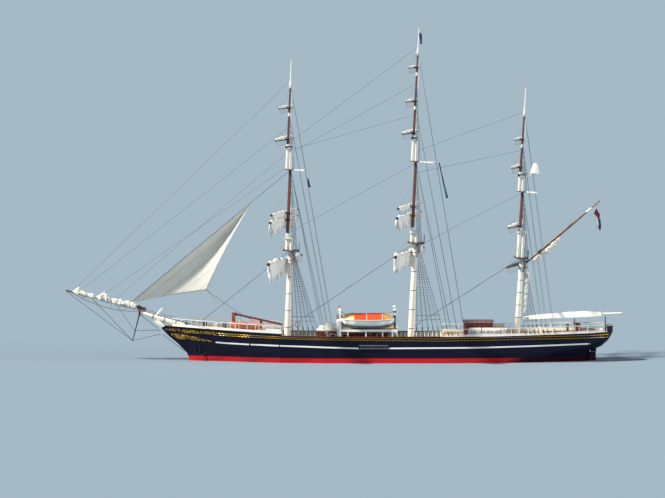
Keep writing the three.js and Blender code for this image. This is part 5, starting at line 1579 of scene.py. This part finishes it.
def build_furled_sail(node, matrix, length, radius, forward, furled):
    """A harbour-stowed sail: the cloth is rolled up on the yard and held by gaskets."""
    half = length / 2 * 0.92
    turns = 1.2
    rows = []
    for share in steps(-1, 1, 90):
        taper = min(1, 1.15 - 0.45 * abs(share)) * min(1, (1.02 - abs(share)) / 0.06)
        size = furled * 1.12 * taper
        centre = Vector((forward - radius * 0.1, share * half, radius * 0.75 + furled * 0.5 * taper))
        row = []
        for step in range(31):
            angle = 2 * math.pi * turns * step / 30 - math.pi / 2
            reach = size * (0.9 + 0.1 * step / 30)
            row.append(centre + Vector((reach * 1.15 * math.cos(angle), 0, reach * math.sin(angle))))
        rows.append(row)
    roll = Shape()
    roll.grid(crumpled(rows, node_seed(node), 0.22, 8, [0.8] * 31))
    made = roll.move(matrix).finish(f"{node}_furled_sail", SAILCLOTH, body=node, smooth_angle=60)
    gaskets = Shape()
    for share in steps(-0.875, 0.875, 7):
        size = furled * (1.15 - 0.45 * abs(share))
        gaskets.ring((forward, share * half, radius * 0.4 + furled * 0.3), (0, 1, 0), size, 0.02, 14)
    gaskets.move(matrix).finish(f"{node}_gaskets", ROPE, body=node)


def node_seed(node):
    return sum(ord(letter) for letter in node) * 0.137


def smooth_path(points, count):
    """A smooth curve through points, in count steps from each point to the next."""
    points = [Vector(point) for point in points]
    path = []
    for index in range(len(points) - 1):
        before, start, end, after = (
            points[max(0, min(len(points) - 1, index + shift))] for shift in (-1, 0, 1, 2))
        for step in range(count):
            t = step / count
            path.append(start + (end - before) * (0.5 * t)
                        + (before * 2 - start * 5 + end * 4 - after) * (0.5 * t * t)
                        + (start * 3 - before - end * 3 + after) * (0.5 * t * t * t))
    return path + [points[-1]]


def crumpled(rows, seed, amount, ties, loose, drawn_in=0.3):
    """Gathers rows of cloth: drawn in at each tie, and creased at random between the ties.

    loose holds a share for each point of a row: 0 where the cloth lies tight on its spar, 1 where it
    hangs free.
    """
    gathered = []
    for index, row in enumerate(rows):
        centre = sum(row, Vector()) / len(row)
        tied = 1 - abs(math.sin(math.pi * ties * index / (len(rows) - 1))) ** 0.45
        points = []
        for step, point in enumerate(row):
            across = step / (len(row) - 1)
            crease = (0.8 * ripple(seed + index * 0.16, across * 6, seed)
                      + 0.45 * ripple(index * 0.5, across * 14, seed)
                      + 0.08 * math.sin(index * 1.3 + across * 9 + seed))
            size = 1 + loose[step] * (amount * crease - drawn_in * tied)
            points.append(centre + (point - centre) * size)
        gathered.append(points)
    return gathered


def bunch_reach(along):
    """How far behind its yard bunched cloth may stand, by the place along the yard: least near the mast."""
    return BUNCH_BACK + 0.4 * min(1, max(0, abs(along) - 1.2))


def cloth_round_yard(forward, radius, depth, thick, share, along):
    """The section of a bunched sail: up the yard's after side, over its top, down before it and up behind."""
    back = min(thick / 2, bunch_reach(along))
    front = thick / 2
    swing = 0.5 + 0.5 * math.sin(share * 21)
    return smooth_path([
        (forward - back, 0, -radius - min(depth, 0.3) * 0.5), (forward - radius - 0.03, 0, -radius * 0.2),
        (forward - radius * 0.7, 0, radius * 0.85), (forward + radius * 0.3, 0, radius * 1.02),
        (forward + max(radius + 0.03, front * 0.8), 0, -radius * 0.4),
        (forward + front, 0, -radius - depth * 0.3),
        (forward + front * 0.95, 0, -radius - depth * (0.6 + 0.1 * swing)),
        (forward + front * (0.35 + 0.4 * swing), 0, -radius - depth * 0.98),
        (forward - back * 0.3, 0, -radius - depth * (0.9 + 0.1 * swing)),
        (forward - back, 0, -radius - depth * 0.72), (forward - back * 0.97, 0, -radius - depth * 0.35),
        (forward - back * 0.9, 0, -radius * 1.05),
    ], 4)


def build_bunched_sail(node, matrix, length, radius, forward):
    """A clewed-up sail: drawn up to its yard and tied round it, it hangs in heavy bights."""
    sail_node, sections = BUNCHES[node]
    half = length / 2
    seed = node_seed(node)
    stations = 160
    rows = []
    for index in range(stations + 1):
        share = sections[0][0] + (sections[-1][0] - sections[0][0]) * index / stations
        depth, thick = (eased(sections, share, column) for column in (1, 2))
        section = cloth_round_yard(forward, radius + 0.02, depth, thick, share + seed, share * half)
        sway = 0.1 * ripple(seed, share * 9, 2.0)
        rows.append([point + Vector((0, share * half + sway * (point.z + radius), 0)) for point in section])
    tight = 9
    last = len(rows[0]) - 1
    loose = [max(0.15, min(1, (step - tight) / 5, (last - step) / 3)) for step in range(last + 1)]
    bundle = Shape()
    ties = 6 if length > 22 else 5
    gathered = crumpled(rows, seed, 0.6, ties, loose, 0.5)
    for index, row in enumerate(gathered):
        end = min(index, stations - index) / 12
        shut = 0.3 + 0.7 * math.sin(min(1, end) * math.pi / 2)
        for point in row:
            # The cloth keeps clear of the mast and of the yard below when the yard is braced
            point.x = max(point.x, forward - bunch_reach(point.y))
            if sail_node not in frame["nodes"]:
                point.z = max(point.z, UPPER_TOPSAIL_LOWEST)
            # Towards its ends the cloth closes round the yard
            out = Vector((point.x - forward, 0, point.z))
            point += out * (max(radius * 0.9 / out.length, shut) - 1)
    bundle.grid(gathered)
    made = bundle.move(matrix).finish(f"{sail_node}_cloth", SAILCLOTH, body=node, smooth_angle=75)
    if sail_node in frame["nodes"]:
        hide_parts(sail_node)
    lines = Shape()
    for share in (-0.72, -0.45, -0.18, 0.18, 0.45, 0.72):
        depth, thick = (eased(sections, share, column) for column in (1, 2))
        lines.tube([(forward + radius + 0.04, share * half, radius * 0.4),
                    (forward + thick * 0.5 + 0.02, share * half, -radius - depth * 0.4),
                    (forward + 0.05, share * half, -radius - depth * 0.9)], 0.02, 4)
    lines.move(matrix).finish(f"{sail_node}_buntlines", ROPE, body=node)


# Spanker

# Spars hinged on the mizzen: height and distance abaft the mast of their pins, rise in degrees
GAFF = {"z": 13.46, "back": 0.7, "slope": 40.2}
BOOM = {"z": 5.96, "back": 0.8, "slope": 2.4}


def along_spar(spar, distance, drop=0.0, side=0.0):
    """A place by its distance along the gaff or boom and its drop square to it, at rest."""
    pin = on_mast("mizzen", "lower", spar["z"], -spar["back"])
    slope = math.radians(spar["slope"])
    return pin + Vector((-distance * math.cos(slope) - drop * math.sin(slope), side,
                         distance * math.sin(slope) - drop * math.cos(slope)))


def build_gaff():
    smooth_copy("spanker_gaff", banded_spar("gaff", [(20.25, 20.85)]), 35)
    iron = Shape()
    run = along_spar(GAFF, 1) - along_spar(GAFF, 0)
    for distance in (0.9, 4.5, 8.2, 9.6, 12.9):
        iron.ring(along_spar(GAFF, distance), run, 0.17 if distance < 8 else 0.13, 0.03, 14)
    iron.finish("gaff_irons", IRON, body="spanker_gaff")


# A gathered sail's section, as shares of half its width and of its depth
GATHERED_SECTION = [(-0.3, 0), (-0.85, 0.12), (-1, 0.45), (-0.8, 0.8), (-0.3, 0.98), (0.3, 0.98),
                    (0.8, 0.8), (1, 0.45), (0.85, 0.12), (0.3, 0)]


def gathered_along(path, outward, sizes, seed, ties):
    """Cloth gathered along a spar or mast: sizes hold each place's depth and half its width."""
    rows = []
    for point, direction, (depth, half) in zip(path, outward, sizes):
        rows.append(smooth_path([point + direction * (depth * down) + Vector((0, half * side, 0))
                                 for side, down in GATHERED_SECTION], 4))
    return crumpled(rows, seed, 0.4, ties, [1] * len(rows[0]))


def lay_cloth(name, rows, body, node=None):
    """Makes a gathered sheet of cloth from rows of points."""
    bundle = Shape()
    bundle.grid(rows)
    made = bundle.finish(name, SAILCLOTH, body=body, smooth_angle=75)
    if node:
        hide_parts(node)


# The brailed spanker. Head: metres along the gaff, depth, half width; luff: height, depth, half width
SPANKER_HEAD = [(0.95, 0.5, 0.26), (1.7, 0.75, 0.3), (2.4, 0.6, 0.27), (3.4, 0.85, 0.3), (4.6, 0.85, 0.3),
                (5.4, 0.6, 0.25), (5.95, 0.12, 0.08)]
SPANKER_LUFF = [(6.6, 0.34, 0.22), (8.5, 0.42, 0.26), (10.5, 0.46, 0.27), (12.0, 0.55, 0.3),
                (12.9, 0.4, 0.24)]


def sizes_at(table, places):
    return [(eased(table, place, 1), eased(table, place, 2)) for place in places]


def build_spanker():
    """The spanker is brailed up: its head lies gathered under the gaff and its luff down the mast."""
    slope = math.radians(GAFF["slope"])
    under = Vector((-math.sin(slope) * 0.35, 0, -math.cos(slope))).normalized()
    places = steps(SPANKER_HEAD[0][0], SPANKER_HEAD[-1][0], 70)
    rows = gathered_along([along_spar(GAFF, place, 0.17) for place in places], [under] * len(places),
                          sizes_at(SPANKER_HEAD, places), 3.1, 5)
    lay_cloth("spanker_cloth", rows, "spanker_gaff", "spanker_sail")
    places = steps(SPANKER_LUFF[0][0], SPANKER_LUFF[-1][0], 80)
    rows = gathered_along([on_mast("mizzen", "lower", place, -0.7) for place in places],
                          [Vector((-1, 0, 0))] * len(places), sizes_at(SPANKER_LUFF, places), 7.7, 8)
    lay_cloth("spanker_luff_cloth", rows, "spanker_gaff")
    brails = Shape()
    for distance in (1.6, 2.8, 4.0, 5.1):
        brails.ring(along_spar(GAFF, distance, 0.3), (-math.cos(slope), 0, math.sin(slope)), 0.34, 0.02, 16)
    brails.finish("spanker_brails", ROPE, body="spanker_gaff")


# The tent over the boom: metres along it, rise of the ridge above its ends, half width
TENT = [(0.6, 0, 0.72), (3, 0.12, 0.8), (6, 0.26, 0.95), (8, 0.28, 0.95), (10.6, 0.1, 0.75)]


def build_boom():
    smooth_copy("spanker_boom", WHITE, 35)
    rows = []
    for index, distance in enumerate(steps(0.65, 10.55, 44)):
        rise, spread = (eased(TENT, distance, column) for column in (1, 2))
        ridge = 0.2 + rise
        row = []
        for share in steps(-1, 1, 24):
            hang = abs(share) ** 1.5 * (ridge + 0.22) + 0.03 * math.sin(index * math.pi / 4) ** 2 * abs(share)
            row.append(along_spar(BOOM, distance, hang - ridge, share * spread))
        rows.append(row)
    tent = Shape()
    tent.grid(rows)
    made = tent.finish("boom_tent_cloth", SAILCLOTH, body="spanker_boom", smooth_angle=75)
    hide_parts("boom_tent")
    ropes = Shape()
    for distance in steps(1.2, 10, 8):
        spread = eased(TENT, distance, 2)
        for side in (-1, 1):
            ropes.tube([along_spar(BOOM, distance, 0.2, side * spread),
                        along_spar(BOOM, distance, 0.12, side * 0.1)], 0.015, 4)
    ropes.finish("tent_lashings", ROPE, body="spanker_boom")


# The limp ensign: drop below its block, how far aft its fore edge hangs, and its width in folds
ENSIGN_LEVELS = [(0.75, 0.0, 0.12), (1.05, -0.16, 0.42), (1.4, -0.3, 0.8), (1.7, -0.02, 0.6),
                 (1.95, 0.08, 0.4), (2.4, 0.14, 0.5), (3.0, 0.24, 0.46), (3.35, 0.34, 0.34),
                 (3.65, 0.44, 0.2)]
ENSIGN_RED_ENDS = 1.85
ENSIGN_WHITE_ENDS = 3.0
ENSIGN_BLOCK = 12.45


def build_ensign():
    """The ensign hangs in folds from the gaff: red above, then white before blue."""
    origin = along_spar(GAFF, ENSIGN_BLOCK)
    columns = 24
    rows = []
    for drop in steps(ENSIGN_LEVELS[0][0], ENSIGN_LEVELS[-1][0], 32):
        aft, width = (eased(ENSIGN_LEVELS, drop, column) for column in (1, 2))
        rows.append([
            origin + Vector((0.1 - aft - width * share, 0.12 * math.sin(share * 16) * (0.4 + width), -drop))
            for share in steps(0, 1, columns)
        ])
    cloth = Shape()
    cloth.grid(rows)
    red_bunting = bunting("red_bunting", "#6e1022", "#8c1a2c")
    made = cloth.finish("ensign_cloth", red_bunting, body="spanker_gaff", smooth_angle=80)
    made.data.materials.append(bunting("white_bunting", "#dedbd4", "#f2efe8"))
    made.data.materials.append(bunting("blue_bunting", "#141b44", "#222c62"))
    for index, polygon in enumerate(made.data.polygons):
        drop = origin.z - polygon.center.z / MODEL
        white = index % columns < columns * 0.4 and drop < ENSIGN_WHITE_ENDS
        polygon.material_index = 0 if drop < ENSIGN_RED_ENDS else 1 if white else 2
    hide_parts("ensign")
    halyard = Shape()
    halyard.tube([along_spar(GAFF, ENSIGN_BLOCK, 0.05), origin + Vector((0.1, 0, -3.65))], 0.02, 4)
    halyard.finish("ensign_halyard", ROPE, body="spanker_gaff")


# Jib

# The jib: its tack on the stay (x, z), its clew, and the shares of the stay that its luff runs between
JIB_TACK = (35.69, 7.57)
JIB_CLEW = (24.9, -0.35, 9.55)
JIB_LUFF = (0.016, 0.757)
JIB_STAY_HEAD_Z = 25.95
JIB_BELLY = 0.64


def build_jib():
    """The set jib, with its hollow leech and foot, bellied away from the camera."""
    head_on_mast = on_mast("fore", "topmast", JIB_STAY_HEAD_Z)
    tack = Vector((JIB_TACK[0], 0, JIB_TACK[1]))
    along = head_on_mast - tack
    inboard = Vector((along.z, 0, -along.x)).normalized() * -0.05
    low, high = (tack + along * share + inboard for share in JIB_LUFF)
    clew = Vector(JIB_CLEW)
    rows = []
    for height in steps(0, 1, 48):
        # The head stops just short of a point
        up = min(height, 0.985)
        row = []
        for out in steps(0, 1, 32):
            point = low.lerp(high, up).lerp(clew.lerp(high, up), out)
            # The sail is fullest from about a quarter to 0.7 of the way up, and flat at its head
            fullness = 4 * out * (1 - out) * min(1, 0.78 + 0.8 * up, (1 - up) / 0.3)
            hollow = 0.35 * math.sin(math.pi * up) * out ** 3
            point += Vector((hollow, -JIB_BELLY * fullness, 0.12 * math.sin(math.pi * out) * (1 - up) ** 4))
            row.append(point)
        rows.append(row)
    cloth = Shape()
    cloth.grid(rows)
    made = cloth.finish("jib_cloth", JIB_CLOTH, smooth_angle=80)
    thick = made.modifiers.new("cloth", "SOLIDIFY")
    thick.thickness = 0.006
    thick.offset = 0
    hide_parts("jib")
    sheets = Shape()
    sheets.tube(sag(clew, (17.5, -3.2, 4.6), 0.3, 12), 0.03, 5)
    sheets.tube(sag(clew, (18.0, 3.6, 4.9), 0.9, 16), 0.03, 5)
    sheets.ring(clew + Vector((0.1, 0, 0.06)), (0, 1, 0), 0.09, 0.025, 12)
    sheets.finish("jib_sheets", ROPE)
    hanks = Shape()
    for share in steps(0.03, 0.74, 22):
        hanks.ring(tack + along * share + inboard * 0.5, along, 0.075, 0.018, 10)
    hanks.finish("jib_hanks", BRONZE)


# Stowed headsails: x, height above and below the jib-boom's axis, half width
STOWED_HEADSAILS = {
    "flying_jib": [(43.2, 0.14, 0.1, 0.1), (42.8, 0.5, 0.2, 0.28), (42.2, 0.95, 0.24, 0.34),
                   (41.8, 0.5, 0.3, 0.34), (41.2, 0.36, 0.34, 0.36), (40.4, 0.4, 0.34, 0.36),
                   (40.05, 0.16, 0.15, 0.2)],
    "outer_jib": [(40.0, 0.16, 0.12, 0.15), (39.4, 0.55, 0.3, 0.36), (38.75, 1.2, 0.32, 0.4),
                  (38.3, 0.75, 0.36, 0.42), (37.9, 0.35, 0.3, 0.3)],
    "inner_jib": [(38.0, 0.35, 0.3, 0.3), (37.3, 0.5, 0.42, 0.44), (35.4, 0.58, 0.42, 0.46),
                  (34.45, 0.4, 0.3, 0.35)],
}


def build_stowed_headsails():
    """Three headsails lie gathered along the jib-boom, and a staysail stands furled on the bowsprit."""
    for name, sections in STOWED_HEADSAILS.items():
        path = []
        sizes = []
        for x in steps(sections[0][0], sections[-1][0], 60):
            above, below, half = (table_value(sections, x, column) for column in (1, 2, 3))
            path.append(Vector((x, 0, 6.98 + 2.57 * (x - 33.2) / 10.9 - below)))
            sizes.append((above + below, half))
        long_side = sections[0][0] - sections[-1][0]
        rows = gathered_along(path, [Vector((0.05, 0, 1))] * len(path), sizes, long_side, round(long_side))
        lay_cloth(f"{name}_stowed", rows, "hull")
    staysail = Shape()
    path = [(31.9, 0, 5.6), (31.7, 0, 6.1), (31.3, 0, 6.7), (30.9, 0, 7.2)]
    staysail.tube(path, [0.1, 0.26, 0.2, 0.06], 10)
    made = staysail.finish("furled_staysail", SAILCLOTH)


# Flags

# Pennants: name, mast, head x and z, length, how far aft the foot hangs, widths at head and foot, colours
PENNANTS = [
    ("main_pennant", "main", -3.95, 44.6, 1.5, 0.1, 0.34, 0.3, "#1d2348", "#343c6e"),
    ("main_signal", "main", -6.6, 26.95, 4.8, 1.0, 0.16, 0.34, "#12404c", "#2c6674"),
    ("fore_signal", "fore", 11.25, 24.8, 1.2, 0.15, 0.2, 0.34, "#1b1f2c", "#333a4c"),
]


def build_pennants():
    for name, mast, x, z, long_side, aft, head, foot, dark, light in PENNANTS:
        rows = []
        for share in steps(0, 1, 24):
            width = head + (foot - head) * share ** 2
            fall = Vector((x - aft * share, 0.12 * math.sin(share * 9), z - share * long_side))
            rows.append([fall + Vector((-width * part / 6, 0.05 * math.sin(share * 14 + part), 0))
                         for part in range(7)])
        cloth = Shape()
        cloth.grid(rows)
        made = cloth.finish(name, bunting(f"{name}_bunting", dark, light))


def build_propeller():
    smooth_copy("propeller", BRONZE, 40)


def build_rudder_skirt():
    """The skirt abaft the rudder's stock, which closes the hull down to the rudder's top."""
    rings = []
    for x, half in ((-27.3, 0.12), (-27.7, 0.1), (-28.1, 0.05)):
        high = 1.6 + 1.05 * (-27.3 - x)
        rings.append([(x, -half, 1.22), (x, half, 1.22), (x, half, high), (x, -half, high)])
    skirt = Shape()
    skirt.loft(rings)
    skirt.finish("rudder_skirt", HULL_ENAMEL)


# Stage

FLOOR_REACH = 3000
CLIP_START = 1
CLIP_END = 8000


def build_stage():
    floor_mesh = bpy.data.meshes.new("floor")
    corners = [(x * FLOOR_REACH, y * FLOOR_REACH, 0) for x, y in ((-1, -1), (1, -1), (1, 1), (-1, 1))]
    floor_mesh.from_pydata(corners, [], [(0, 1, 2, 3)])
    floor = bpy.data.objects.new("floor", floor_mesh)
    bpy.context.scene.collection.objects.link(floor)
    material, tree, surface, _ = start_material("pale_studio_floor", 0.9)
    set_inputs(tree, surface, {"Base Color": paint("#7d909f")})
    floor_mesh.materials.append(material)


def build_camera():
    """The photograph's view, from the port side and a little above the waterline."""
    camera_data = bpy.data.cameras.new("camera")
    camera = bpy.data.objects.new("camera", camera_data)
    bpy.context.scene.collection.objects.link(camera)
    target = Vector((
        (MIDSHIP_PIXEL_X - PHOTO_WIDTH / 2) / PIXELS_PER_METRE, 0,
        (WATERLINE_PIXEL_Y - PHOTO_HEIGHT / 2) / PIXELS_PER_METRE,
    ))
    elevation = math.radians(CAMERA_ELEVATION)
    camera.location = target + Vector((0, math.cos(elevation), math.sin(elevation))) * CAMERA_DISTANCE
    camera.rotation_euler = (math.pi / 2 - elevation, 0, math.pi)
    camera_data.sensor_width = SENSOR
    camera_data.lens = SENSOR * CAMERA_DISTANCE / (PHOTO_WIDTH / PIXELS_PER_METRE)
    camera_data.clip_start = CLIP_START
    camera_data.clip_end = CLIP_END
    bpy.context.scene.camera = camera


# Lights: name, strength, how wide it looks in degrees, colour, and the way towards it
LIGHTS = [
    ("key", 6.2, 4, "#fffaf0", (0.7, 0.26, 0.72)),
    ("fill", 1.8, 30, "#f6f9ff", (-1, 0.3, 0.3)),
]
ROOM_COLOUR = "#cfdcea"
ROOM_STRENGTH = 0.28


def build_light():
    """A key light from above the bow, a wide fill from astern, and an even pale room."""
    for name, strength, wide, colour, toward in LIGHTS:
        light_data = bpy.data.lights.new(name, "SUN")
        light_data.energy = strength
        light_data.angle = math.radians(wide)
        light_data.color = paint(colour)[:3]
        light = bpy.data.objects.new(name, light_data)
        light.rotation_euler = Vector(toward).to_track_quat("Z", "Y").to_euler()
        bpy.context.scene.collection.objects.link(light)
    world = bpy.data.worlds.new("studio")
    world.use_nodes = True
    set_inputs(world.node_tree, world.node_tree.nodes["Background"], {
        "Color": paint(ROOM_COLOUR), "Strength": ROOM_STRENGTH,
    })
    bpy.context.scene.world = world
    # The photograph's strong whites and clear colours need the plain view, without a film curve
    bpy.context.scene.view_settings.view_transform = "Standard"


build_camera()
build_light()
build_stage()
finish_hull()
build_paint_lines()
build_bulwark_tops()
build_anchor()
build_side_ladder()
build_rails()
build_bulwark_blocks()
build_windlass()
build_cowls()
build_houses()
build_roof_lockers()
build_deck_fittings()
build_boat_deck()
build_lifeboats()
build_rescue_boat()
build_rafts()
build_steering()
build_crane()
build_bowsprit()
build_head_rigging()
build_masts()
build_shrouds()
build_stays()
build_yards()
build_gaff()
build_spanker()
build_boom()
build_ensign()
build_jib()
build_stowed_headsails()
build_pennants()
build_propeller()
build_rudder_skirt()
